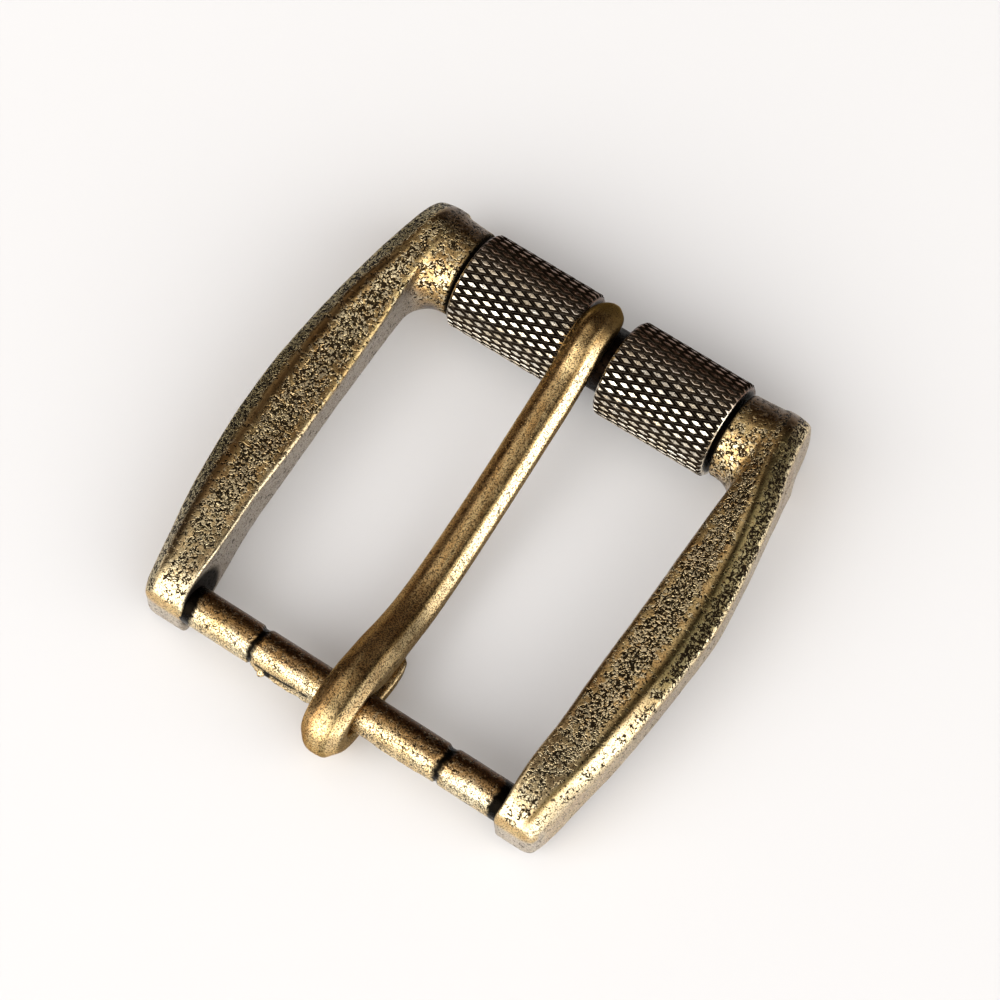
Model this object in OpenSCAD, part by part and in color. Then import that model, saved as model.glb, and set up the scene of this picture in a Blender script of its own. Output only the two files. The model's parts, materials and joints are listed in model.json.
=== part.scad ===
// Roller buckle lying on its back: cast frame, two rollers on the front bar,
// and a prong hooked round the heel bar. Millimetres, Z up, X along the bars,
// Y from the heel bar toward the rollers, Z = 0 on the resting face. The
// sections and modules count Y from the heel bar, and centred() then moves
// the buckle so that its middle is over the origin.

/* [Frame] */
// Clear width between the feet of the arms at the heel bar, for the strap
strap_gap = 38.5; // [30:0.5:50]
// Half of the overall width across the bowed arms
arm_half_w = 26.95; // [22:0.05:34]
// Distance from the heel bar axis to the front bar axis
bar_pitch = 45.97; // [36:0.01:56]
// How far the ridge of the arms rises above the top of the rollers
ridge_rise = 0.35; // [-0.5:0.05:2]
// Size of the rounding along the cast edges
cast_round = 0.5; // [0.2:0.05:0.8]
// How far the heel end faces of the arms lie behind the heel bar axis
heel_back = 1.95; // [1.6:0.05:2.6]
// How far the front corner of the left arm is drawn in
tuck_left = -0.15; // [-1:0.05:1]
// How far the front corner of the right arm is drawn in
tuck_right = 0.6; // [-1:0.05:1]

/* [Heel bar] */
// Diameter of the heel bar
heel_bar_d = 4.06; // [3.4:0.02:5]
// Height of the heel bar axis above the underside of the arms
heel_bar_up = 3.65; // [3.4:0.05:4.6]
// Distance of the left ring groove from the middle of the heel bar
groove_left_x = 10.4; // [8:0.1:15]
// Distance of the right ring groove from the middle of the heel bar
groove_right_x = 12; // [8:0.05:15]
// Width of each ring groove
heel_groove_w = 0.7; // [0.2:0.05:1]
// Depth of each ring groove
heel_groove_deep = 0.25; // [0.1:0.01:0.4]

/* [Front bar and bosses] */
// Diameter of the front bar that the rollers turn on
front_bar_d = 7.18; // [6:0.02:8.4]
// Radius of the boss where it faces the roller
boss_r = 4.8; // [4:0.05:5.2]
// Radius of the boss where it meets the arm
boss_root_r = 5.2; // [4.5:0.05:5.4]
// Sideways play of both rollers together between the bosses
boss_gap = 0.55; // [0.2:0.05:1]
// How far both rollers have slid toward the left boss
roller_slide = 0.3; // [-0.4:0.05:0.4]

/* [Rollers] */
// Outside diameter of a roller over the knurl
roller_d = 10.9; // [9:0.1:13]
// Length of each roller
roller_len = 13.05; // [9:0.05:15]
// Clear space between the two rollers, where the prong tip lies
roller_split = 5.2; // [4.5:0.02:8]
// Chamfer at each end of a roller
roller_chamfer = 0.5; // [0.2:0.05:0.9]
// Running clearance between a roller bore and the front bar, on the radius
roller_play = 0.07; // [0.03:0.01:0.1]

/* [Prong] */
// Width of the prong along its length
prong_w = 3.9; // [3:0.1:5]
// Width of the prong at its loop
loop_w = 4.4; // [3.2:0.1:5.4]
// Wall of the round eye inside the loop
eye_wall = 0.7; // [0.5:0.05:1]
// Running clearance between the eye and the heel bar, on the radius
eye_play = 0.06; // [0.03:0.01:0.1]
// Gap under the prong's tip where it lies on the front bar
tip_rest = 0.13; // [0.1:0.01:0.3]
// Sideways offset of the loop from the middle of the heel bar
loop_x = -0.05; // [-1:0.05:1]
// Sideways lean of the prong between the heel bar and the front bar
prong_lean = -0.72; // [-1.2:0.02:1.2]

/* [Hidden] */
$fn = 72;
heel_r = heel_bar_d / 2;
bar_r = front_bar_d / 2;
roller_r = roller_d / 2;
bar_z = roller_r;
roller_in = roller_split / 2;
roller_out = roller_in + roller_len;
boss_x = roller_out + boss_gap;
arm_in = strap_gap / 2;
sink = 0.37 * heel_bar_d;
ridge_h = roller_d + ridge_rise;
eye_r = heel_r + eye_play;
hook_r = eye_r + eye_wall;
rest_z = bar_z + bar_r + tip_rest;

// Sections of one arm, heel end first. Each row holds the place as a share
// of the pitch, or of heel_back where it is negative. Then come the outer
// wall and the ridge as shares of the half width, the inner wall at its foot
// and at its top as shares of half the strap gap, and the underside, outer
// edge, ridge and inner edge as shares of the ridge height.
ARM = [
  [-1.0000, 0.850, 0.796, 1.000, 1.011, 0.000, 0.262, 0.296, 0.288],
  [-0.9000, 0.868, 0.816, 1.000, 1.022, 0.000, 0.305, 0.370, 0.378],
  [-0.6200, 0.883, 0.830, 1.000, 1.030, 0.000, 0.352, 0.452, 0.478],
  [-0.2000, 0.895, 0.842, 1.000, 1.036, 0.000, 0.392, 0.533, 0.580],
  [0.0150, 0.904, 0.851, 1.000, 1.037, 0.004, 0.422, 0.596, 0.652],
  [0.0480, 0.914, 0.861, 1.002, 1.033, 0.020, 0.450, 0.626, 0.698],
  [0.0985, 0.930, 0.876, 1.007, 1.025, 0.072, 0.482, 0.642, 0.702],
  [0.1600, 0.950, 0.891, 1.011, 1.018, 0.120, 0.520, 0.655, 0.682],
  [0.2200, 0.967, 0.900, 1.012, 1.014, 0.161, 0.553, 0.675, 0.669],
  [0.3280, 0.987, 0.913, 1.012, 1.014, 0.225, 0.607, 0.714, 0.659],
  [0.4376, 0.999, 0.920, 1.015, 1.016, 0.277, 0.664, 0.759, 0.664],
  [0.5470, 0.998, 0.918, 1.019, 1.021, 0.318, 0.710, 0.810, 0.688],
  [0.6565, 0.984, 0.909, 1.023, 1.025, 0.344, 0.750, 0.866, 0.728],
  [0.7660, 0.962, 0.889, 1.029, 1.030, 0.345, 0.788, 0.925, 0.786],
  [0.8530, 0.939, 0.860, 1.036, 1.039, 0.300, 0.822, 0.968, 0.840],
  [0.9080, 0.923, 0.838, 1.039, 1.042, 0.245, 0.840, 0.975, 0.868],
  [0.9520, 0.909, 0.822, 1.042, 1.044, 0.150, 0.845, 0.962, 0.892],
  [1.0000, 0.895, 0.812, 1.044, 1.044, 0.050, 0.838, 0.935, 0.930],
  [1.0400, 0.884, 0.802, 1.044, 1.044, 0.070, 0.806, 0.900, 0.900],
  [1.0730, 0.873, 0.794, 1.044, 1.044, 0.150, 0.748, 0.820, 0.820],
  [1.0940, 0.861, 0.786, 1.044, 1.044, 0.245, 0.672, 0.722, 0.722],
  [1.1060, 0.842, 0.778, 1.044, 1.044, 0.335, 0.592, 0.630, 0.630],
  [1.1120, 0.812, 0.770, 1.044, 1.044, 0.410, 0.520, 0.545, 0.545]
];

// Sections of the hook, free end first. Each row holds the outer side and the
// inner side as places behind or before and over or under the heel bar axis,
// in shares of the eye's outer radius, and a width share.
HOOK = [
  [2.688, -0.717, 2.652, -0.484, 0.840],
  [2.437, -0.878, 2.330, -0.520, 0.960],
  [1.935, -1.147, 1.792, -0.627, 1.000],
  [1.290, -1.416, 1.147, -0.735, 1.000],
  [0.573, -1.616, 0.430, -0.871, 1.000],
  [-0.179, -1.688, -0.072, -0.943, 1.000],
  [-0.932, -1.573, -0.466, -0.835, 1.000],
  [-1.541, -1.254, -0.760, -0.570, 1.000],
  [-1.918, -0.753, -0.932, -0.269, 1.000],
  [-2.007, -0.161, -0.932, 0.018, 1.000],
  [-1.846, 0.412, -0.842, 0.323, 1.000],
  [-1.470, 0.860, -0.645, 0.556, 1.000],
  [-0.932, 1.147, -0.358, 0.699, 1.000],
  [-0.323, 1.290, -0.108, 0.753, 1.000],
  [0.430, 1.308, 0.215, 0.717, 1.000]
];

// Sections of the shank and tip. Each row holds the outer side and the inner
// side, along as shares of the pitch and up as shares of the height at which
// the tip lies on the front bar, and a width share.
SHANK = [
  [0.0696, 0.8888, 0.0348, 0.6816, 0.99],
  [0.1131, 0.8419, 0.0631, 0.5289, 0.98],
  [0.1566, 0.7797, 0.1349, 0.4635, 0.97],
  [0.2023, 0.6925, 0.1936, 0.3980, 0.96],
  [0.2610, 0.5998, 0.2610, 0.3402, 0.95],
  [0.3263, 0.5671, 0.3307, 0.3381, 0.94],
  [0.4024, 0.5911, 0.4111, 0.3708, 0.93],
  [0.5003, 0.6543, 0.5112, 0.4417, 0.92],
  [0.6091, 0.7579, 0.6221, 0.5431, 0.91],
  [0.7179, 0.8811, 0.7331, 0.6652, 0.91],
  [0.8151, 0.9945, 0.8325, 0.7797, 0.91],
  [0.8760, 1.0905, 0.8978, 0.8779, 0.88],
  [0.9173, 1.1832, 0.9391, 0.9433, 0.87],
  [0.9543, 1.2595, 0.9674, 0.9902, 0.86],
  [0.9935, 1.2868, 0.9956, 1.0000, 0.85],
  [1.0305, 1.2432, 1.0239, 0.9836, 0.83],
  [1.0609, 1.1396, 1.0457, 0.9324, 0.76],
  [1.0816, 1.0305, 1.0609, 0.8779, 0.64],
  [1.0935, 0.9433, 1.0718, 0.8342, 0.40]
];

// Outline of the prong across its width, as shares of the half width and
// of the thickness.
PRONG_CUT = [
  [-0.86, 0], [0.86, 0], [1, 0.12], [1, 0.56], [0.93, 0.72],
  [0.56, 0.96], [0.34, 1], [-0.34, 1], [-0.56, 0.96], [-0.93, 0.72],
  [-1, 0.56], [-1, 0.12]
];

// The heel stands on the hook of the prong, which lies under the heel bar.
hook_low = min([for (r = HOOK) r[1]]) * hook_r;
heel_bar_z = 0.04 - hook_low;
heel_lift = heel_bar_z - heel_bar_up;

// The origin lies under the middle of the whole buckle along Y.
mid_y = (bar_pitch + roller_r + min([for (r = HOOK) r[0]]) * hook_r) / 2;

function arm_y(t) = t < 0 ? t * heel_back : t * bar_pitch;

// How far the arms stand off the resting face: none at the front bar.
function lift(y) = heel_lift * (1 - y / bar_pitch);

// Share of the tuck at one place: none behind the middle, all at the front bar.
function tuck_at(t) = max(0, min(1, (t - 0.5) / 0.45));

function arm_cut(r, tuck) =
  let (
    y = arm_y(r[0]),
    xo = r[1] * arm_half_w - tuck * tuck_at(r[0]),
    xr = r[2] * arm_half_w - tuck * tuck_at(r[0]),
    xf = r[3] * arm_in,
    xi = r[4] * arm_in,
    zu = r[5] * ridge_h + lift(y),
    zo = r[6] * ridge_h + lift(y),
    zr = r[7] * ridge_h + lift(y),
    zi = r[8] * ridge_h + lift(y),
    wi = xr - xi,
    wo = xo - xr,
    wn = min(wi, 6 * cast_round)
  )
  [
    [xf + 0.4 * cast_round, y, zu],
    [xo - 0.5 * cast_round, y, zu],
    [xo, y, zu + 0.5 * cast_round],
    [xo, y, zo - 0.6 * cast_round],
    [xo - 0.1 * wo, y, zo + 0.04 * cast_round],
    [xr + 0.55 * wo, y, zr - 0.5 * (zr - zo)],
    [xr + 0.2 * wo, y, zr - 0.12 * (zr - zo)],
    [xr, y, zr],
    [xr - 0.14 * wi, y, zr - 0.1 * (zr - zi) - 0.14 * cast_round],
    [xi + 0.5 * wi, y, (zi + zr) / 2 - 0.24 * cast_round],
    [xi + 0.27 * wn, y, zi - 0.04 * cast_round],
    [xi + 0.12 * wn, y, zi - 0.28 * cast_round],
    [xi, y, zi - 1.1 * cast_round],
    [xf, y, zu + 0.4 * cast_round]
  ];

// Width shares from 1 at the loop down to 0.91 where the prong runs straight.
function lerp_w(k) = prong_w + (loop_w - prong_w) * (k - 0.91) / 0.09;

// Rows of the hook and the shank as lengths, counted from the heel bar.
function hook_row(r) =
  [r[0] * hook_r, heel_bar_z + r[1] * hook_r, r[2] * hook_r, heel_bar_z + r[3] * hook_r, r[4]];

function shank_row(r) =
  [r[0] * bar_pitch, r[1] * rest_z, r[2] * bar_pitch, r[3] * rest_z, r[4]];

function prong_cut(r) =
  let (
    hw = (r[4] > 0.91 ? lerp_w(r[4]) : r[4] / 0.91 * prong_w) / 2,
    xc = loop_x + prong_lean * max(r[0], 0) / bar_pitch
  )
  [for (p = PRONG_CUT)
    [xc + p[0] * hw,
     r[2] + p[1] * (r[0] - r[2]),
     r[3] + p[1] * (r[1] - r[3])]];

// Middle of the points of one section.
function middle(c) =
  [for (k = [0 : 2]) [for (p = c) p[k]] * [for (p = c) 1] / len(c)];

// Closed skin over a list of sections that all have the same point count.
module skin(cuts) {
  n = len(cuts[0]);
  m = len(cuts);
  pts = concat(
    [for (c = cuts) for (p = c) p],
    [middle(cuts[0]), middle(cuts[m - 1])]
  );
  side = [for (i = [0 : m - 2]) for (j = [0 : n - 1])
    let (
      a = i * n + j,
      b = i * n + (j + 1) % n,
      c = (i + 1) * n + (j + 1) % n,
      d = (i + 1) * n + j
    )
    each [[a, b, c], [a, c, d]]];
  cap_a = [for (j = [0 : n - 1]) [m * n, (j + 1) % n, j]];
  cap_b = [for (j = [0 : n - 1])
    [m * n + 1, (m - 1) * n + j, (m - 1) * n + (j + 1) % n]];
  polyhedron(points = pts, faces = concat(cap_a, side, cap_b), convexity = 6);
}

module along_x(x0, x1, y, z, r) {
  translate([x0, y, z])
    rotate([0, 90, 0])
      cylinder(h = x1 - x0, r = r);
}

// One arm with the boss that turns in toward the roller.
module arm(tuck) {
  skin([for (r = ARM) arm_cut(r, tuck)]);
  hull() {
    along_x(boss_x, boss_x + 0.08 * boss_r, bar_pitch, bar_z, boss_r);
    along_x(arm_in + 0.75 * sink, arm_in + sink, bar_pitch - 0.06 * boss_root_r, bar_z, boss_root_r);
  }
}

module heel_bar() {
  difference() {
    along_x(-arm_in - sink, arm_in + sink, 0, heel_bar_z, heel_r);
    for (gx = [-groove_left_x, groove_right_x])
      translate([gx, 0, heel_bar_z])
        rotate([0, 90, 0])
          difference() {
            cylinder(h = heel_groove_w, r = heel_bar_d, center = true);
            cylinder(h = 3 * heel_groove_w, r = heel_r - heel_groove_deep, center = true);
          }
  }
}

module frame() {
  color([0.62, 0.5, 0.3]) {
    arm(tuck_right);
    mirror([1, 0, 0])
      arm(tuck_left);
    heel_bar();
    along_x(-boss_x - 0.4 * sink, boss_x + 0.4 * sink, bar_pitch, bar_z, bar_r);
  }
}

// Roller as a turned ring with chamfered ends, its left end at x0.
module roller(x0) {
  color([0.3, 0.27, 0.24])
    translate([x0, bar_pitch, bar_z])
      rotate([0, 90, 0])
        rotate_extrude()
          polygon([
            [bar_r + roller_play, 0],
            [roller_r - roller_chamfer, 0],
            [roller_r, roller_chamfer],
            [roller_r, roller_len - roller_chamfer],
            [roller_r - roller_chamfer, roller_len],
            [bar_r + roller_play, roller_len]
          ]);
}

module roller_left() {
  roller(-roller_out - roller_slide);
}

module roller_right() {
  roller(roller_in - roller_slide);
}

// Moves a piece so that the middle of the buckle is over the origin.
module centred() {
  translate([0, -mid_y, 0])
    children();
}

// Prong with its open hook, and a round eye inside the hook as the bearing.
module prong() {
  color([0.66, 0.54, 0.34])
    difference() {
      union() {
        skin(concat(
          [for (r = HOOK) prong_cut(hook_row(r))],
          [for (r = SHANK) prong_cut(shank_row(r))]
        ));
        along_x(loop_x - loop_w / 2, loop_x + loop_w / 2, 0, heel_bar_z, hook_r);
      }
      along_x(loop_x - loop_w, loop_x + loop_w, 0, heel_bar_z, eye_r);
    }
}

centred() frame();
centred() roller_left();
centred() roller_right();
centred() prong();
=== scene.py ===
"""Looks of the roller buckle: casting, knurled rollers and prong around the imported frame."""

import json
import math
from functools import partial
from types import SimpleNamespace

import bmesh
import bpy
import numpy as np
from bpy.props import FloatProperty, FloatVectorProperty, IntProperty, PointerProperty
from mathutils import Matrix, Vector


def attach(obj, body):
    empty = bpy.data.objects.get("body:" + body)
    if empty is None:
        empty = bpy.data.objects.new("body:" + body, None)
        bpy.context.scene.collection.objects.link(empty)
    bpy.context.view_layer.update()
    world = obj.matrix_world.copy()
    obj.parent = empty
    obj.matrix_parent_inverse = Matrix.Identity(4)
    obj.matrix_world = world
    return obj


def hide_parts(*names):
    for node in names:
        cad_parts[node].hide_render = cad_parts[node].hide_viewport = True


bl_info = {
    "name": "Roller Buckle",
    "version": (1, 0, 0),
    "blender": (4, 5, 0),
    "location": "3D View > Sidebar > Buckle",
    "description": "Builds the cast frame, knurled rollers and prong of a roller buckle",
    "category": "Object",
}

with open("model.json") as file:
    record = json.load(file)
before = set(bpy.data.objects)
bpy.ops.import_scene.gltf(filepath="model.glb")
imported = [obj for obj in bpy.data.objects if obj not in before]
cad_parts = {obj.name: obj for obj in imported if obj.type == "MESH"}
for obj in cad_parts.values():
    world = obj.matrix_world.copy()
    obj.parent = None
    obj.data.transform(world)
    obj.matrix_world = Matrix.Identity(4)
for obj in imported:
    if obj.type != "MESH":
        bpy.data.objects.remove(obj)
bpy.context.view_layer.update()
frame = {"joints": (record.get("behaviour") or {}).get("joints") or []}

# The shapes below are written in millimetres, with Y counted from the heel bar.
MM = 0.001
PITCH = 45.97
HEEL_Z = 4.7495
BAR_Z = 5.45
BAR_R = 3.59
BOSS_R = 4.72
ROLLER_R = 5.45
HEEL_Y = frame["joints"][0]["pos_m"][1]


def smooth(x, a, b):
    """Smooth step from 0 at a to 1 at b."""
    t = np.clip((x - a) / (b - a), 0, 1)
    return t * t * (3 - 2 * t)


def bell(x, width, power=2):
    """1 where x is 0, falling off to either side within about the width."""
    return np.exp(-(np.abs(x / width) ** power))


def cubic(t, span, start, end, start_slope, end_slope):
    """Curve over a span, t from 0 to 1, by its two ends and the slopes there."""
    return (
        (2 * t**3 - 3 * t**2 + 1) * start
        + (t**3 - 2 * t**2 + t) * span * start_slope
        + (3 * t**2 - 2 * t**3) * end
        + (t**3 - t**2) * span * end_slope
    )


def hermite(xs, ys, x):
    """Smooth curve through the columns of ys, without overshoot where they turn."""
    d = np.diff(ys, axis=0) / np.diff(xs)[:, None]
    m = np.zeros_like(ys)
    m[1:-1] = np.where(d[:-1] * d[1:] > 0, (d[:-1] + d[1:]) / 2, 0)
    m[0], m[-1] = d[0], d[-1]
    i = np.clip(np.searchsorted(xs, x) - 1, 0, len(xs) - 2)
    h = (xs[i + 1] - xs[i])[:, None]
    t = np.clip((x - xs[i])[:, None] / h, 0, 1)
    return cubic(t, h, ys[i], ys[i + 1], m[i], m[i + 1])


def mesh_object(name, verts, faces, material_name):
    """Smooth object from points in millimetres that are counted from the heel bar."""
    v = np.asarray(verts, float) * MM
    v[:, 1] += HEEL_Y
    me = bpy.data.meshes.new(name)
    me.from_pydata(v.tolist(), [], [list(map(int, f)) for f in faces])
    me.update()
    me.materials.append(bpy.data.materials[material_name])
    me.shade_smooth()
    return link_new(name, me)


def link_new(name, data):
    ob = bpy.data.objects.new(name, data)
    bpy.context.scene.collection.objects.link(ob)
    return ob


def set_attribute(ob, name, values):
    a = ob.data.attributes.new(name, "FLOAT", "POINT")
    a.data.foreach_set("value", np.asarray(values, np.float32))


# Sections of an arm: place along the pitch, outer wall, ridge, inner wall at
# its foot and its top, then underside, outer edge, ridge and inner edge.
ARM = np.array(
    [
        [-1.0000, 22.91, 21.45, 19.25, 19.46, 0.00, 3.35, 4.10, 4.10],
        [-0.9000, 23.39, 21.99, 19.25, 19.67, 0.00, 3.90, 4.85, 4.95],
        [-0.6200, 23.80, 22.37, 19.25, 19.83, 0.00, 4.35, 5.60, 5.85],
        [-0.2000, 24.12, 22.69, 19.25, 19.94, 0.00, 4.60, 6.20, 6.70],
        [0.0150, 24.36, 22.93, 19.25, 19.96, 0.04, 4.75, 6.71, 7.34],
        [0.0480, 24.63, 23.20, 19.29, 19.89, 0.22, 5.06, 7.04, 7.85],
        [0.0985, 25.06, 23.61, 19.38, 19.73, 0.81, 5.42, 7.22, 7.90],
        [0.1600, 25.60, 24.01, 19.46, 19.60, 1.35, 5.85, 7.37, 7.67],
        [0.2200, 26.06, 24.26, 19.48, 19.52, 1.81, 6.22, 7.59, 7.53],
        [0.3280, 26.60, 24.61, 19.48, 19.52, 2.53, 6.83, 8.03, 7.41],
        [0.4376, 26.92, 24.79, 19.54, 19.56, 3.12, 7.47, 8.54, 7.47],
        [0.5470, 26.90, 24.74, 19.62, 19.65, 3.58, 7.99, 9.11, 7.74],
        [0.6565, 26.52, 24.50, 19.69, 19.73, 3.87, 8.44, 9.74, 8.19],
        [0.7660, 25.93, 23.96, 19.81, 19.83, 3.88, 8.87, 10.41, 8.84],
        [0.8530, 25.31, 23.18, 19.94, 20.00, 3.38, 9.25, 10.89, 9.45],
        [0.9080, 24.87, 22.58, 20.00, 20.06, 2.76, 9.45, 10.97, 9.77],
        [0.9520, 24.50, 22.15, 20.06, 20.10, 1.69, 9.51, 10.82, 10.04],
        [1.0000, 24.12, 21.88, 20.10, 20.10, 0.56, 9.43, 10.52, 10.46],
        [1.0400, 23.82, 21.61, 20.10, 20.10, 0.79, 9.07, 10.13, 10.13],
        [1.0730, 23.53, 21.40, 20.10, 20.10, 1.69, 8.42, 9.23, 9.23],
        [1.0940, 23.20, 21.18, 20.10, 20.10, 2.76, 7.56, 8.12, 8.12],
        [1.1060, 22.69, 20.97, 20.10, 20.10, 3.77, 6.66, 7.09, 7.09],
        [1.1120, 21.88, 20.75, 20.10, 20.10, 4.61, 5.85, 6.13, 6.13],
    ]
)
HEEL_LIFT = 1.1

# What differs between the left arm and the right one: how far it reaches behind the
# heel bar, its cut front, how its sides lean, and the face and front of its boss.
ARM_SIDES = {
    -1: SimpleNamespace(
        heel_back=2.15, front_cut=51.2, front_round=0.3, front_stretch=0.1, tuck=-0.15,
        bulge=0.0, inner_swell=0.0, heel_foot=0.55, heel_top=0.95, inner_round=0.5,
        boss_face=16.45, boss_front=0.33,
    ),
    1: SimpleNamespace(
        heel_back=2.35, front_cut=51.05, front_round=0.8, front_stretch=0.0, tuck=0.5,
        bulge=0.42, inner_swell=0.24, heel_foot=0.1, heel_top=0.6, inner_round=0.9,
        boss_face=16.15, boss_front=0.02,
    ),
}


def arm_rows(y, side):
    """Section values at each place along the arm, lifted at the heel."""
    s = ARM_SIDES[side]
    along = y / PITCH
    row_y = np.where(ARM[:, 0] < 0, ARM[:, 0] * s.heel_back, ARM[:, 0] * PITCH)
    place = y - s.front_stretch * np.maximum(y - PITCH, 0)
    r = hermite(row_y, ARM[:, 1:], np.clip(place, row_y[0], row_y[-1]))
    tuck = s.tuck * np.clip((along - 0.5) / 0.45, 0, 1)
    bulge = smooth(along, 0.4, 0.6) * (1 - smooth(along, 0.86, 1.0))
    r[:, 0] -= tuck - s.bulge * bulge
    r[:, 1] -= tuck
    r[:, 4:] += (HEEL_LIFT * (1 - along))[:, None]
    near_heel = 1 - smooth(y, 1, 13)
    r[:, 2] -= s.heel_foot * near_heel
    r[:, 3] -= s.heel_top * near_heel
    r[:, 2:4] -= (s.inner_swell * smooth(y, 8, 14) * (1 - smooth(along, 0.84, 1.0)))[:, None]
    return r


def arm_outline(y, side):
    """Outline of the arm at each place: one row of points a place, x and z."""
    xo, xr, xf, xi, zu, zo, zr, zi = arm_rows(y, side).T
    foot_round = (0.6 + 1.1 * smooth(y / PITCH, 0.6, 0.9))[:, None]
    corners = [
        ((xf, zu), 0.45, 4),
        ((xo, zu), foot_round, 8),
        ((xo, zo), 0.55, 6),
        ((xr + 0.5 * (xo - xr), zr - 0.44 * (zr - zo)), 0.8, 3),
        ((xr, zr), 1.5, 9),
        ((xi + 0.52 * (xr - xi), zi + 0.52 * (zr - zi) - 0.14), 1.1, 3),
        ((xi, zi), ARM_SIDES[side].inner_round, 7),
    ]
    return rounded_outline([(np.stack(c, -1), cut, steps) for c, cut, steps in corners])


def outline_distance(px, pz, poly):
    """Signed distance from each point to its own outline, negative inside."""
    a, b = poly, np.roll(poly, -1, axis=1)
    e = b - a
    wx, wz = px[:, None] - a[..., 0], pz[:, None] - a[..., 1]
    t = np.clip(
        (wx * e[..., 0] + wz * e[..., 1]) / (e[..., 0] ** 2 + e[..., 1] ** 2 + 1e-12), 0, 1
    )
    dx, dz = wx - t * e[..., 0], wz - t * e[..., 1]
    d = np.sqrt((dx * dx + dz * dz).min(1))
    up = (a[..., 1] <= pz[:, None]) != (b[..., 1] <= pz[:, None])
    cross = e[..., 0] * wz - e[..., 1] * wx
    hit = up & ((cross > 0) == (e[..., 1] > 0))
    # the crossing count to one side of the point tells inside from outside
    inside = hit.sum(1) % 2 == 1
    return np.where(inside, -d, d)


def soft_union(a, b, k):
    """Two distances joined with a fillet about k wide."""
    h = np.clip(0.5 + 0.5 * (b - a) / k, 0, 1)
    return b * (1 - h) + a * h - k * h * (1 - h)


def soft_cut(a, b, k):
    """What lies inside both distances, with a round about k wide."""
    return -soft_union(-a, -b, k)


WAVES = np.random.RandomState(5).normal(size=(9, 4))
BATCH = 60000


def casting_waves(p, size):
    """Slight unevenness of a cast surface, in millimetres."""
    out = np.zeros(len(p))
    for i, w in enumerate(WAVES):
        out += np.sin(p @ (w[:3] * (0.55 + 0.12 * i)) + 9 * w[3])
    return size * out / 3


def casting_distance(p, side, wave):
    """Distance to one arm with its boss. The arm is described on its +X side."""
    s = ARM_SIDES[side]
    q = p.copy()
    q[:, 0] *= side
    out = np.empty(len(q))
    for start in range(0, len(q), BATCH):
        x, y, z = q[start : start + BATCH].T
        arm = outline_distance(x, z, arm_outline(y, side))
        arm = soft_cut(arm, -s.heel_back - y, 0.7)
        arm = soft_cut(arm, y - s.front_cut, s.front_round)
        flare = 0.25 * smooth(x, s.boss_face, 21.5)
        r = BOSS_R + flare + s.boss_front * smooth(y, PITCH - 1, PITCH + 4)
        boss = soft_cut(np.hypot(y - PITCH, z - BAR_Z) - r, s.boss_face - x, 0.35)
        boss = soft_cut(boss, x - 23.0, 2.2)
        # the fillet is wide in the window's corner and tight on top and in front
        fillet = 0.7 + 2.3 * smooth(PITCH + 1.5 - y, 0, 3.5) * smooth(10.2 - z, 0, 3)
        out[start : start + BATCH] = soft_union(arm, boss, fillet)
    return out + casting_waves(p, wave)


def surface_mesh(distance, low, high, step):
    """Mesh of the surface where distance is zero: one point in each cell that it
    crosses, then every point moved on to the surface itself."""
    n = np.ceil((np.array(high) - low) / step).astype(int) + 1
    axes = [low[i] + step * np.arange(n[i]) for i in range(3)]
    grid = np.stack(np.meshgrid(*axes, indexing="ij"), -1).reshape(-1, 3)
    f = distance(grid).reshape(n)
    inside = f < 0
    total = np.zeros(tuple(n - 1) + (3,))
    count = np.zeros(tuple(n - 1))
    # each cell's point is the mean of the crossings on its twelve edges
    for ax in range(3):
        near, far = [slice(None)] * 3, [slice(None)] * 3
        near[ax], far[ax] = slice(0, -1), slice(1, None)
        a, b = f[tuple(near)], f[tuple(far)]
        cross = (a < 0) != (b < 0)
        t = np.where(cross, a / np.where(cross, a - b, 1), 0)
        o1, o2 = [i for i in range(3) if i != ax]
        for d1 in (0, 1):
            for d2 in (0, 1):
                cells = [slice(None)] * 3
                cells[o1] = slice(d1, n[o1] - 1 + d1)
                cells[o2] = slice(d2, n[o2] - 1 + d2)
                c = cross[tuple(cells)]
                total[..., ax] += np.where(c, t[tuple(cells)], 0)
                total[..., o1] += np.where(c, d1, 0)
                total[..., o2] += np.where(c, d2, 0)
                count += c
    used = count > 0
    index = np.full(used.shape, -1)
    index[used] = np.arange(used.sum())
    verts = np.array(low) + step * (np.argwhere(used) + total[used] / count[used][:, None])
    # each crossed edge inside the grid gives a quad between its four cells
    faces = []
    for ax in range(3):
        o1, o2 = [(1, 2), (2, 0), (0, 1)][ax]
        near, far = [slice(1, -1)] * 3, [slice(1, -1)] * 3
        near[ax], far[ax] = slice(0, -1), slice(1, None)
        a, b = inside[tuple(near)], inside[tuple(far)]
        for flip, mask in ((False, a & ~b), (True, ~a & b)):
            at = np.argwhere(mask)
            at[:, [o1, o2]] += 1
            quad = []
            for d1, d2 in ((-1, -1), (0, -1), (0, 0), (-1, 0)):
                c = at.copy()
                c[:, o1] += d1
                c[:, o2] += d2
                quad.append(index[c[:, 0], c[:, 1], c[:, 2]])
            quad = np.stack(quad, 1)
            faces.append(quad[:, ::-1] if flip else quad)
    probe = 0.03 * np.eye(3)
    for _ in range(3):
        d = distance(verts)
        rise = [(distance(verts + e) - distance(verts - e)) / (2 * 0.03) for e in probe]
        grad = np.stack(rise, 1)
        norm = np.linalg.norm(grad, axis=1, keepdims=True) + 1e-6
        move = -(d[:, None] / norm) * grad / norm
        size = np.linalg.norm(move, axis=1, keepdims=True)
        verts += move * np.minimum(1, 0.5 * step / (size + 1e-9))
    return verts, np.concatenate(faces), grad / norm


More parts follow.
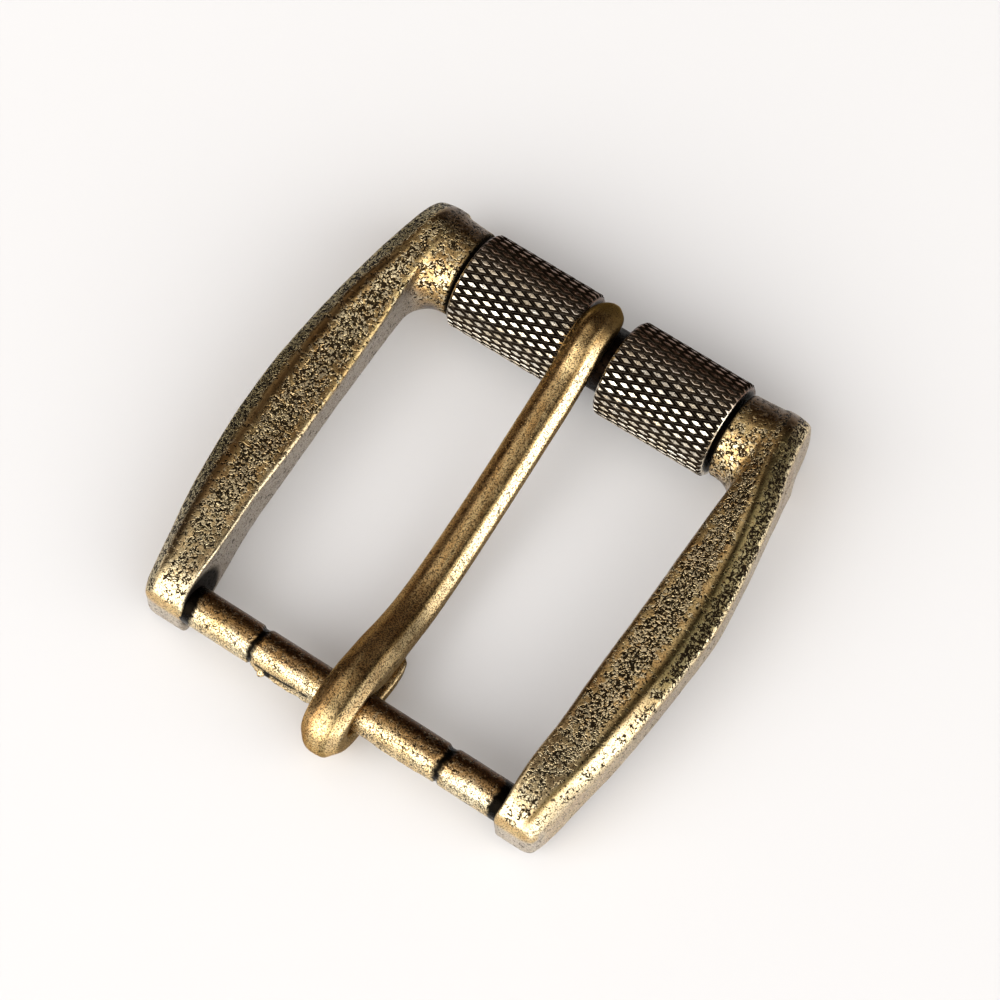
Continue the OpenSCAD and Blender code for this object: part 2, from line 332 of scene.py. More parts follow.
def rounded_outline(corners):
    """Closed outlines through corners that are rounded off, one for each row of
    the corner arrays. Each corner holds its place, its cut and its steps."""
    points = []
    most = 0.46
    for k, (v, cut, steps) in enumerate(corners):
        a, b = corners[k - 1][0], corners[(k + 1) % len(corners)][0]
        la = np.linalg.norm(a - v, axis=1, keepdims=True) + 1e-6
        lb = np.linalg.norm(b - v, axis=1, keepdims=True) + 1e-6
        pa = v + (a - v) / la * np.minimum(cut, most * la)
        pb = v + (b - v) / lb * np.minimum(cut, most * lb)
        for t in (i / steps for i in range(steps + 1)):
            points.append((1 - t) ** 2 * pa + 2 * t * (1 - t) * v + t * t * pb)
    return np.stack(points, 1)


def loft(rings, name, material_name):
    """Closed skin over rings of points, with a fan over each end."""
    m, n = rings.shape[:2]
    ends = [rings[0].mean(0)[None], rings[-1].mean(0)[None]]
    verts = np.concatenate([rings.reshape(-1, 3), *ends])
    i, j = np.meshgrid(np.arange(m - 1), np.arange(n), indexing="ij")
    a, b = i * n + j, i * n + (j + 1) % n
    quads = np.stack([a, b, b + n, a + n], -1).reshape(-1, 4).tolist()
    fans = [[m * n, (k + 1) % n, k] for k in range(n)]
    fans += [[m * n + 1, (m - 1) * n + k, (m - 1) * n + (k + 1) % n] for k in range(n)]
    ob = mesh_object(name, verts, quads + fans, material_name)
    bm = bmesh.new()
    bm.from_mesh(ob.data)
    bmesh.ops.recalc_face_normals(bm, faces=bm.faces)
    bm.to_mesh(ob.data)
    bm.free()
    return ob


def build_casting(step, wave):
    """Both arms with their bosses as one mesh, with the zones of its finish and of its painted
    shade and highlights.
    """
    verts, faces, zones = [], [], []
    base = 0
    for side in (-1, 1):
        x0, x1 = sorted((15.7 * side, 27.5 * side))
        v, f, g = surface_mesh(
            lambda p: casting_distance(p, side, wave), (x0, -2.4, -0.4), (x1, 52.0, 12.0), step
        )
        verts.append(v)
        faces.append(f + base)
        zones.append(casting_zones(v, g, side))
        base += len(v)
    ob = mesh_object("casting", np.concatenate(verts), np.concatenate(faces), "cast brass")
    for key in zones[0]:
        set_attribute(ob, key, np.concatenate([z[key] for z in zones]))
    return ob


def casting_zones(v, g, side):
    """Where the casting is pitted, plain and rubbed, and where shade, shadow and highlight are
    painted on it, each 0 to 1, from its points v and the directions g that it faces."""
    left = side < 0
    x, y, z = v[:, 0] * side, v[:, 1], v[:, 2]
    xo, xr, _, xi = arm_rows(y, side).T[:4]
    # shares from inner wall to ridge, from ridge to outer wall and from bar to bar
    inner = (x - xi) / np.maximum(xr - xi, 0.5)
    outer = (x - xr) / np.maximum(xo - xr, 0.5)
    along = y / PITCH
    up = smooth(g[:, 2], 0.3, 0.62)
    upper = smooth(along, 0.3, 0.55)
    boss = (1 - smooth(x, 19.6, 20.8)) * smooth(y, PITCH - 6.5, PITCH - 4.5)
    hollow = boss * smooth(PITCH - y, 3.2, 4.8) * smooth(x, 16.6, 18.2) * (1 - smooth(z, 4.4, 6.4))
    top = up * (1 - boss)

    heel_end = smooth(z, 4.2, 5.1) * (1 - smooth(y, -1.6, -1.0))
    wall = (1 - smooth(g[:, 2], 0.3, 0.6)) * (1 - boss) * (1 - heel_end)

    # pits, densest along the middle of each facet
    edge = bell(x - xi - 0.1, 0.35 if left else 0.7)
    dense = 0.62 + 0.38 * smooth(along, 0.06, 0.3) * (1 - 0.5 * smooth(along, 0.8, 0.97))
    facet = (smooth(inner, 0.02, 0.4) * (1 - smooth(inner, 0.66, 0.95)) * dense) ** 0.8
    facet = np.maximum(facet, 0.42) * (1 - 0.7 * smooth(inner, 0.86, 0.98))
    facet *= 1 - (0.9 - 0.5 * upper) * edge
    if left:
        rim = 0.9 * smooth(outer, 0.1, 0.3)
    else:
        rim = smooth(outer, 0.24, 0.46) * (0.3 + 0.65 * smooth(along, 0.25, 0.5))
    rim *= 1 - 0.75 * smooth(outer, 0.84, 1.0)
    pits = top * (0.5 + 0.5 * smooth(y, -1.6, 0.6)) * np.maximum(facet, rim)
    boss_pits = 0.5 if left else 0.36 + 0.24 * smooth(PITCH - y, -1.5, 2.5)
    pits += boss * boss_pits * (1 - hollow)
    pits = np.maximum(pits, 0.12 * wall)

    # painted shade: the brown band along the ridge and over the front, where the rounding turns
    # away to the dark side of the room
    crown = x - xr + 0.1 - (0 if left else 0.4 * upper)
    ridge = bell(crown, 0.66 if left else 0.38 + 0.17 * upper, 2.6) * top
    ridge *= smooth(along, -0.03, 0.1) if left else smooth(along, -0.045, -0.015)
    ridge *= 1 - smooth(along, 0.86, 0.97)
    over_front = smooth(y - PITCH, -0.6, 2.4) * up * (1 - smooth(x, 21.6, 22.6))
    ridge = np.maximum(ridge, over_front)

    # olive tarnish, and on the right arm a dark crest and a brown inner edge: the crest is painted
    # shade mixed with the olive tarnish, the inner edge is painted shade where its rounding mirrors
    # the dark side of the room
    if left:
        olive = np.maximum(smooth(outer, 0.12, 0.4), 0.7 * edge * upper) * up
        crest_shade_and_tarnish = np.zeros_like(x)
    else:
        olive = smooth(outer, 0.0, 0.2) * (1 - smooth(outer, 0.82, 0.96)) * up
        olive *= smooth(along, 0.27, 0.42) * (1 - smooth(y - PITCH, 0.5, 3.0))
        at_front = smooth(y - PITCH, -2, 1)
        crest_shade_and_tarnish = np.maximum(ridge * (1 - at_front), 0.62 * olive)
        inner_edge_shade = np.maximum(0.75 * bell(x - xi - 0.1, 0.45), 0.3 * bell(x - xi, 1.7))
        ridge = np.maximum(ridge * at_front, inner_edge_shade * smooth(along, 0.1, 0.25) * top)

    # edges and heel that are rubbed bright: partly real wear, partly painted highlight where they
    # face the bright side of the room
    lit = smooth(g[:, 2], 0.1, 0.4)
    if left:
        rub_and_highlight = bell(x - xi - 0.16, 0.38) * lit * (1 - boss) * (1 - smooth(along, 0.25, 0.6))
    else:
        rub_and_highlight = 0.7 * bell(x - xo + 0.2, 0.22) * lit
        low_rim_highlight = smooth(outer, 0.12, 0.3) * up * (1 - smooth(along, 0.2, 0.42))
        rub_and_highlight = np.maximum(rub_and_highlight, 0.75 * low_rim_highlight)
    heel_highlight = (1 - smooth(y, -0.9, 0.9)) * smooth(g[:, 2], 0.42, 0.7)
    rub_and_highlight = np.maximum(rub_and_highlight, 0.4 * top * (1 - smooth(along, 0.05, 0.35)))
    rub_and_highlight = np.maximum(rub_and_highlight, 0.55 * heel_highlight) * (1 - crest_shade_and_tarnish) * (1 - 0.9 * ridge)

    # painted shadow: black round the heel bar's end and on the boss's face behind the roller, where
    # the parts meet
    from_bar = np.hypot(y - 1.1, z - HEEL_Z)
    dark = 0.97 * (1 - smooth(from_bar, 2.9, 3.9)) * (1 - smooth(x - xi, 0.2, 0.5))
    dark *= smooth(g[:, 1], -0.75, -0.35) * smooth(z, 1.6, 2.8)
    face = ARM_SIDES[side].boss_face
    dark = np.maximum(dark, 0.96 * boss * (1 - smooth(x, face + 0.05, face + 0.35)))

    # walls: painted shade on the inner walls, in the fillet's hollow and high on the right arm's
    # outer wall; more like the clean metal on the outer flanks
    inside = np.maximum(wall * (1 - smooth(x, xi + 0.3, xi + 1.2)), 2.0 * hollow)
    if not left:
        shaded = wall * smooth(outer, 0.88, 1.0) * smooth(along, 0.1, 0.35)
        inside = np.maximum(inside, 0.7 * shaded)
    flank = np.maximum(smooth(outer, 0.7, 0.98), smooth(y, PITCH - 1.0, PITCH + 2.0))
    wall = wall * (1 - (0.8 if left else 0.5) * flank * smooth(y, -1.4, 0.2))
    return {
        "pits": pits, "ridge": ridge, "crest_shade_and_tarnish": crest_shade_and_tarnish, "olive": olive * (1 - boss),
        "wall": np.maximum(wall, 0.8 * hollow), "inside": inside, "rub_and_highlight": rub_and_highlight, "dark": dark,
    }


def through_points(rows, count):
    """Smooth curve through rows of numbers, evenly along the first two columns."""
    rows = np.asarray(rows, float)
    u = np.concatenate([[0], np.cumsum(np.linalg.norm(np.diff(rows[:, :2], axis=0), axis=1))])
    m = np.gradient(rows, u, axis=0)
    x = np.linspace(0, u[-1], count)
    i = np.clip(np.searchsorted(u, x) - 1, 0, len(u) - 2)
    h = (u[i + 1] - u[i])[:, None]
    return cubic((x - u[i])[:, None] / h, h, rows[i], rows[i + 1], m[i], m[i + 1])


# Prong sections from the hook's free end to the tip: the outer side and the
# inner side as Y and Z, and the width.
PRONG = [
    [7.87, 2.85, 7.70, 3.30, 2.65], [7.55, 2.55, 7.35, 3.38, 3.75],
    [6.85, 2.18, 6.65, 3.40, 4.35], [5.40, 1.55, 5.00, 3.20, 4.70],
    [3.60, 0.80, 3.30, 2.85, 4.70], [1.60, 0.24, 1.50, 2.66, 4.70],
    [-0.54, 0.04, -0.20, 2.62, 4.70], [-2.78, 0.36, -1.55, 2.95, 4.70],
    [-4.61, 1.25, -2.35, 3.65, 4.70], [-5.67, 2.65, -2.80, 4.30, 4.70],
    [-5.92, 4.30, -2.88, 4.95, 4.70], [-5.47, 5.90, -2.65, 5.75, 4.70],
    [-4.39, 7.15, -2.05, 6.50, 4.70], [-2.78, 7.95, -1.15, 6.98, 4.70],
    [-0.96, 8.35, -0.35, 7.10, 4.70], [1.20, 8.40, 0.55, 6.98, 4.70],
    [3.20, 8.15, 1.50, 6.50, 4.73], [5.20, 7.72, 2.60, 5.45, 4.77],
    [7.20, 7.15, 5.40, 4.45, 4.76], [9.30, 6.35, 8.90, 3.65, 4.49],
    [12.00, 5.50, 12.00, 3.12, 4.44], [15.00, 5.20, 15.20, 3.10, 4.39],
    [18.50, 5.42, 18.90, 3.40, 4.34], [23.00, 6.00, 23.50, 4.05, 4.29],
    [28.00, 6.95, 28.60, 4.98, 4.24], [33.00, 8.08, 33.70, 6.10, 4.24],
    [37.47, 9.12, 38.27, 7.15, 4.24], [40.27, 10.00, 41.27, 8.05, 4.14],
    [42.17, 10.85, 43.17, 8.65, 4.07], [43.87, 11.55, 44.47, 9.08, 4.03],
    [45.67, 11.80, 45.77, 9.17, 4.26], [47.37, 11.40, 47.07, 9.06, 4.06],
    [48.77, 10.55, 48.07, 8.70, 3.68], [49.75, 9.65, 48.90, 8.30, 3.04],
    [50.22, 8.95, 49.45, 7.95, 2.08],
]

# Corners of the prong's section: share of the half width, share of the thickness,
# then how much is cut off the corner, how much more at the tip, and in how many steps.
PRONG_CORNERS = (
    (-1, 0, 0.5, 0, 5), (1, 0, 0.5, 0, 5), (1, 0.54, 0.3, 0.4, 5), (0.44, 0.985, 0.24, 0.7, 6),
    (0, 1.03, 0.8, 0, 4), (-0.5, 0.985, 0.7, 0, 6), (-1, 0.56, 0.5, 0, 5),
)


def build_prong():
    """The prong as a loft along its sections, with each point's place on it."""
    r = through_points(PRONG, 300)
    half = r[:, 4:5] / 2
    thick = np.hypot(r[:, 0] - r[:, 2], r[:, 1] - r[:, 3])[:, None]
    tip = smooth(r[:, :1], 42, 46)
    flat = rounded_outline(
        [
            (np.concatenate([half * wide, thick * deep], 1), cut + more * tip, steps)
            for wide, deep, cut, more, steps in PRONG_CORNERS
        ]
    )
    # the shank leans to the left as it goes forward, the hook's free end to the right
    free = np.arange(len(r))[:, None] / len(r)
    middle = -0.05 - 0.84 * np.maximum(r[:, :1], 0) / PITCH
    middle = middle + 0.42 * (1 - smooth(free, 0.02, 0.1))
    share = flat[..., 1] / thick
    y = r[:, 2:3] + share * (r[:, 0:1] - r[:, 2:3])
    z = r[:, 3:4] + share * (r[:, 1:2] - r[:, 3:4])
    ob = loft(np.stack([middle + flat[..., 0], y, z], -1), "prong_cast", "prong brass")
    across = (flat[..., 0] / half).reshape(-1)
    along = np.repeat(r[:, 0], flat.shape[1])
    set_attribute(ob, "across", np.concatenate([across, [0, 0]]))
    set_attribute(ob, "along", np.concatenate([along, [7.6, 50.3]]))
    return ob


def wrapped(angle):
    """The same angle between -pi and pi."""
    return np.angle(np.exp(1j * angle))


def build_heel_bar():
    """The heel bar as turned rows, with ring grooves and the ragged casting line."""
    x = np.linspace(-19.7, 19.7, 360)[:, None]
    th = np.linspace(0, 2 * np.pi, 96, endpoint=False)[None]
    rng = np.random.RandomState(3)
    ragged = np.interp(x, np.linspace(-21, 21, 90), rng.rand(90))
    wander = np.interp(x, np.linspace(-21, 21, 30), rng.rand(30) - 0.5)

    # two ring grooves with uneven edges
    notch = 0.1 * np.sin(3.1 * th + 1) + 0.06 * np.sin(11 * th) + 0.04 * np.sin(23 * th + 2)
    upper = 0.45 + 0.55 * smooth(np.sin(th + 0.5), -0.9, 0.2)
    groove = bell(x + 10.7 + notch, 0.44 * upper, 4) + bell(x - 11.95 + notch, 0.52 * upper, 4)
    r = 2.09 - 0.22 * groove

    # the fin along the mould's joint, a drop of metal on it and a crack beside it
    joint = math.radians(191)
    gap = wrapped(th - joint - 0.1 * wander)
    left = smooth(x, -10.2, -9.6) * (1 - smooth(x, -3.6, -2.8))
    right = smooth(x, 4.2, 5.2) * (1 - smooth(x, 9.6, 10.8))
    fin = 0.03 + 0.26 * left * (0.35 + 0.65 * ragged) + 0.15 * right * (0.2 + 0.8 * ragged)
    r = r + fin * bell(gap, 0.13) * (1 - 0.8 * groove)
    drop = np.hypot((x + 8.95) / 0.42, gap * 2 / 0.34)
    r = r + 0.36 * np.clip(1 - drop**2, 0, 1) ** 0.6
    seam = wrapped(th - joint + 0.42 + 0.16 * wander)
    crack = np.maximum(left * smooth(ragged, 0.1, 0.3), 0.7 * right * smooth(ragged, 0.45, 0.6))
    r = r - 0.09 * bell(seam, 0.06) * crack
    rings = np.stack([x + 0 * r, r * np.cos(th), HEEL_Z + r * np.sin(th)], -1)
    ob = loft(rings, "heel_bar", "bar brass")

    # black in the grooves; painted shadow in the crack, beside the drop and where the arms begin
    past = np.abs(x) + 1.2 * notch + 0.4 * (x < 0)
    ends = smooth(past, 17.9, 18.4) * smooth(np.sin(th - 0.45), -0.1, 0.3)
    dark = np.maximum(groove, np.maximum(ends, smooth(past, 19.0, 19.3)))
    dark = np.maximum(dark, bell(seam, 0.05 + 0.09 * left * ragged, 4) * crack)
    pool = np.hypot((x + 8.3) / 0.55, (gap + 0.2) / 0.22)
    dark = np.maximum(dark, (1 - smooth(pool, 0.7, 1.1)) * (drop > 1.05))

    # painted shade: brown, then amber, on the top and the side that faces the window, where the bar
    # mirrors the dark side of the room
    turn = np.degrees(wrapped(th - math.radians(60)))
    begins = smooth(turn, -95, -60)
    shade = begins * (1 - smooth(turn + 14 * wander, 4, 40))
    painted_amber = begins * (1 - smooth(turn + 24 * wander, 36, 74))
    for name, values in (("dark", dark), ("shade", shade), ("painted_amber", painted_amber)):
        set_attribute(ob, name, np.concatenate([values.reshape(-1), [1, 1]]))
    return ob


def build_front_bar():
    """The plain bar that the rollers turn on."""
    x = np.concatenate([[-17.4, -16.6], np.linspace(-16, 16, 60), [16.6, 17.4]])[:, None]
    th = np.linspace(0, 2 * np.pi, 96, endpoint=False)[None]
    rings = np.broadcast_arrays(x, PITCH + BAR_R * np.cos(th), BAR_Z + BAR_R * np.sin(th))
    return loft(np.stack(rings, -1), "front_bar", "shaded front bar")


def put(tree, target, value):
    """Link a socket to an input, or set the input to a plain value."""
    if isinstance(value, bpy.types.NodeSocket):
        tree.links.new(value, target)
    else:
        target.default_value = value


def add(tree, kind, inputs=None, **props):
    """New node with these properties, its inputs linked or set."""
    n = tree.nodes.new(kind)
    for k, v in props.items():
        setattr(n, k, v)
    for k, v in (inputs or {}).items():
        put(tree, n.inputs[k], v)
    return n


def calc(tree, op, *values, clamp=False, kind="ShaderNodeMath"):
    """Output of a math node that works on these values."""
    n = add(tree, kind, operation=op)
    if clamp:
        n.use_clamp = True
    for i, v in enumerate(values):
        put(tree, n.inputs[i], v)
    return n.outputs[0]


def vmath(tree, op, *values):
    return calc(tree, op, *values, kind="ShaderNodeVectorMath")


def ease(tree, value, a, b, lo=0.0, hi=1.0):
    """Smooth step of a value from a to b, put out between lo and hi."""
    n = add(
        tree, "ShaderNodeMapRange",
        {"Value": value, "From Min": a, "From Max": b, "To Min": lo, "To Max": hi},
        interpolation_type="SMOOTHSTEP",
    )
    return n.outputs[0]


def blend_colors(tree, factor, a, b):
    n = add(tree, "ShaderNodeMix", data_type="RGBA")
    put(tree, n.inputs[0], factor)
    put(tree, n.inputs[6], a)
    put(tree, n.inputs[7], b)
    return n.outputs[2]


def noise(tree, vector, scale, detail=2.0, rough=0.5, twist=0.0, shift=0.0):
    """Noise around 0.5, read at a shifted place so that two noises differ."""
    if shift:
        vector = vmath(tree, "ADD", vector, (shift, 1.7 * shift, -0.6 * shift))
    inputs = {"Vector": vector, "Scale": scale, "Detail": detail}
    inputs.update({"Roughness": rough, "Distortion": twist})
    return add(tree, "ShaderNodeTexNoise", inputs).outputs["Fac"]


def attribute(tree, name):
    return add(tree, "ShaderNodeAttribute", attribute_name=name).outputs["Fac"]


def cast_skin_group():
    """Masks and relief of a cast brass surface, from a place in millimetres."""
    if "cast skin" in bpy.data.node_groups:
        return bpy.data.node_groups["cast skin"]
    g = bpy.data.node_groups.new("cast skin", "ShaderNodeTree")
    new = g.interface.new_socket
    new("Place", in_out="INPUT", socket_type="NodeSocketVector")
    for name, value in (("Pitting", 0.5), ("Pit Scale", 2.4), ("Grain", 0.5)):
        new(name, in_out="INPUT", socket_type="NodeSocketFloat").default_value = value
    for name in ("Pits", "Grain", "Rubbed Highs And Highlights", "Relief", "Cloud", "Patch"):
        new(name, in_out="OUTPUT", socket_type="NodeSocketFloat")
    ins = g.nodes.new("NodeGroupInput").outputs
    out = g.nodes.new("NodeGroupOutput").inputs
    place, pitting, scale = ins["Place"], ins["Pitting"], ins["Pit Scale"]

    def times(a, b):
        return calc(g, "MULTIPLY", a, b)

    # worms follow the lines where one noise is at its middle, in patches of another
    off = calc(g, "ABSOLUTE", calc(g, "SUBTRACT", noise(g, place, scale, 2.0, 0.5, 0.5), 0.5))
    patches = noise(g, place, times(scale, 0.75), 1.0, 0.5, 0.0, 41.0)
    patches = calc(g, "MULTIPLY_ADD", pitting, 0.36, patches)
    pitted = ease(g, pitting, 0.02, 0.15)
    gate = times(ease(g, patches, 0.64, 0.74), pitted)
    worms = times(ease(g, off, 0.062, 0.036), gate)
    dots = noise(g, place, times(scale, 1.7), 1.0, 0.5, 0.3, 57.0)
    dots = ease(g, calc(g, "MULTIPLY_ADD", pitting, 0.15, dots), 0.68, 0.715)
    pits = calc(g, "MAXIMUM", worms, times(dots, pitted))

    fine = noise(g, place, 7.0, 1.0, 0.5, 0.2, 11.0)
    grain = ease(g, calc(g, "MULTIPLY_ADD", ins["Grain"], 0.2, fine), 0.66, 0.72)
    soft = noise(g, place, 1.1, 2.0, 0.5, 0.0, 23.0)
    bowls = calc(g, "MAXIMUM", times(ease(g, off, 0.10, 0.0), gate), pits)
    relief = calc(g, "MULTIPLY_ADD", bowls, -1.0, times(fine, -0.12))
    for name, value in (
        ("Pits", pits),
        ("Grain", grain),
        # the tops of the lumps between the worms: rubbed wear and painted highlight
        ("Rubbed Highs And Highlights", times(ease(g, off, 0.045, 0.10), gate)),
        ("Relief", calc(g, "MULTIPLY_ADD", soft, 0.3, relief)),
        ("Cloud", ease(g, noise(g, place, 0.24, 3.0, 0.55, 0.4, 3.0), 0.34, 0.66)),
        ("Patch", ease(g, noise(g, place, 0.9, 3.0, 0.6, 0.2, 31.0), 0.38, 0.64)),
    ):
        put(g, out[name], value)
    return g


def new_material(name):
    """New material: its tree, its shader and the place on the object in millimetres."""
    m = bpy.data.materials.new(name)
    m.use_nodes = True
    t = m.node_tree
    place = vmath(t, "SCALE", add(t, "ShaderNodeTexCoord").outputs["Object"])
    place.node.inputs["Scale"].default_value = 1000
    return m, t, t.nodes["Principled BSDF"], place


def skin(t, place, pitting, scale, grain):
    """Outputs of the cast skin group on this place."""
    inputs = {"Place": place, "Pitting": pitting, "Pit Scale": scale, "Grain": grain}
    n = t.nodes.new("ShaderNodeGroup")
    n.node_tree = cast_skin_group()
    for name, value in inputs.items():
        put(t, n.inputs[name], value)
    return n.outputs


def layers(t, color, *steps):
    """Colour with further colours laid over it, each by its own mask and strength."""
    for mask, strength, over in steps:
        factor = mask if strength == 1 else calc(t, "MULTIPLY", mask, strength)
        over = over if isinstance(over, bpy.types.NodeSocket) else rgba(over)
        color = blend_colors(t, factor, color, over)
    return color


def metal(t, shader, color, rough, relief, depth_mm):
    """Set a material's own shader to metal with this colour, roughness and relief."""
    bump = add(t, "ShaderNodeBump", {"Height": relief, "Distance": depth_mm * MM, "Strength": 1.0})
    put(t, shader.inputs["Base Color"], color)
    put(t, shader.inputs["Roughness"], rough)
    put(t, shader.inputs["Normal"], bump.outputs[0])
    shader.inputs["Metallic"].default_value = 1


def rgba(c):
    return (c[0], c[1], c[2], 1.0)


# Colours of dirt, tarnish, painted shade and painted shadow that no setting changes.
# painted shadow in the gaps where the parts meet
PAINTED_GAP_SHADOW = (0.004, 0.003, 0.003)
WALL_SHADE = (0.13, 0.10, 0.08)
CAST_GRAIN, CAST_PITS = (0.08, 0.042, 0.016), (0.008, 0.0045, 0.0025)
# painted shade of the heel bar's top and the side that faces the window
PAINTED_BAR_AMBER, PAINTED_BAR_SHADE = (0.50, 0.27, 0.085), (0.10, 0.04, 0.012)
BAR_GRAIN, BAR_PITS, BAR_BLACK = (0.06, 0.03, 0.012), (0.008, 0.005, 0.003), (0.004, 0.003, 0.002)
# painted shade of the front bar, which shows only in shaded gaps
FRONT_BAR_SHADE, FRONT_BAR_SHADE_LIGHTER = (0.004, 0.0025, 0.0015), (0.014, 0.008, 0.005)
BLACK_PITS = (0.003, 0.002, 0.0015)
KNURL_GRAIN, KNURL_PITS = (0.05, 0.03, 0.015), (0.02, 0.012, 0.006)
BEVEL_OLIVE, SIDE_OLIVE = (0.27, 0.19, 0.085), (0.22, 0.175, 0.115)
TIP_BROWN = (0.09, 0.058, 0.022)
PRONG_GRAIN, PRONG_PITS = (0.06, 0.032, 0.013), (0.02, 0.012, 0.006)
PRONG_EDGE_TINT = (0.62, 0.52, 0.4, 1)


def cast_brass(s):
    m, t, shader, place = new_material("cast brass")
    o = skin(t, place, attribute(t, "pits"), 2.0, 0.62)
    dark = attribute(t, "dark")
    # painted light in these layers: the rubbed highs and edges are partly painted highlight, the
    # ridge and crest painted shade, the inner walls painted shade, and the black in the gaps
    # painted shadow
    color = layers(
        t, blend_colors(t, o["Cloud"], rgba(s.brown), rgba(s.brass)),
        (o["Patch"], 0.3, s.olive),
        (o["Rubbed Highs And Highlights"], 0.7, s.bright),
        (attribute(t, "olive"), 0.8, s.dull),
        (attribute(t, "ridge"), 0.93, s.ridge),
        (attribute(t, "crest_shade_and_tarnish"), 0.85, s.crest_shade_and_tarnish),
        (attribute(t, "rub_and_highlight"), 0.85, s.bright),
        (attribute(t, "wall"), 0.85, s.wall),
        (attribute(t, "inside"), 0.5, WALL_SHADE),
        (o["Grain"], 0.72, CAST_GRAIN),
        (o["Pits"], 0.97, CAST_PITS),
        (dark, 1, PAINTED_GAP_SHADOW),
    )
    rough = calc(t, "MULTIPLY_ADD", o["Patch"], 0.1, 0.27)
    rough = calc(t, "MULTIPLY_ADD", o["Pits"], 0.3, rough)
    rough = calc(t, "MULTIPLY_ADD", dark, 0.45, rough)
    metal(t, shader, color, rough, o["Relief"], s.pit_depth / MM)
    return m


def bar_brass(s):
    m, t, shader, place = new_material("bar brass")
    o = skin(t, place, 0.3, 2.9, 0.8)
    color = layers(
        t, blend_colors(t, o["Cloud"], rgba(s.brass), rgba(s.bright)),
        (o["Patch"], 0.35, s.brass),
        # painted shade: amber and brown on the top and the side that faces the window; the highs
        # are partly painted highlight
        (attribute(t, "painted_amber"), 0.85, PAINTED_BAR_AMBER),
        (attribute(t, "shade"), 0.93, PAINTED_BAR_SHADE),
        (o["Rubbed Highs And Highlights"], 0.3, s.bright),
        (o["Grain"], 0.8, BAR_GRAIN),
        (o["Pits"], 0.95, BAR_PITS),
        (attribute(t, "dark"), 1, BAR_BLACK),
    )
    rough = calc(t, "MULTIPLY_ADD", o["Patch"], 0.12, 0.25)
    metal(t, shader, color, rough, o["Relief"], 0.03)
    return m


def shaded_front_bar(s):
    m, t, shader, place = new_material("shaded front bar")
    o = skin(t, place, 0.5, 2.0, 0.5)
    # painted shade: near black, as the bar shows only in the shaded gaps beside the rollers
    base = blend_colors(t, o["Cloud"], rgba(FRONT_BAR_SHADE), rgba(FRONT_BAR_SHADE_LIGHTER))
    color = layers(t, base, (o["Pits"], 1, BLACK_PITS))
    rough = calc(t, "MULTIPLY_ADD", o["Patch"], 0.2, 0.4)
    metal(t, shader, color, rough, o["Relief"], 0.04)
    return m


def knurled_brass(s):
    m, t, shader, place = new_material("knurled brass")
    o = skin(t, place, 0.3, 2.8, 0.45)
    high = attribute(t, "height")
    flat = blend_colors(t, attribute(t, "tone"), rgba(s.flat_dull), rgba(s.flat_bright))
    # painted shade: dark flats on the strip that faces up and back
    flat = blend_colors(t, attribute(t, "out_of_painted_shade"), rgba(s.flat_shade), flat)
    # painted shade: the teeth's flanks take the near black of the groove colour, and only their
    # tops take the flat colour
    color = layers(
        t, blend_colors(t, ease(t, high, 0.0, 0.2), rgba(s.floor_line), rgba(s.groove)),
        (ease(t, high, 0.8, 0.99), 1, flat),
        (o["Pits"], 0.6, KNURL_PITS),
        (o["Grain"], 0.25, KNURL_GRAIN),
    )
    rough = calc(t, "MULTIPLY_ADD", o["Patch"], 0.1, ease(t, high, 0.6, 0.98, 0.5, 0.2))
    metal(t, shader, color, rough, o["Relief"], 0.02)
    return m


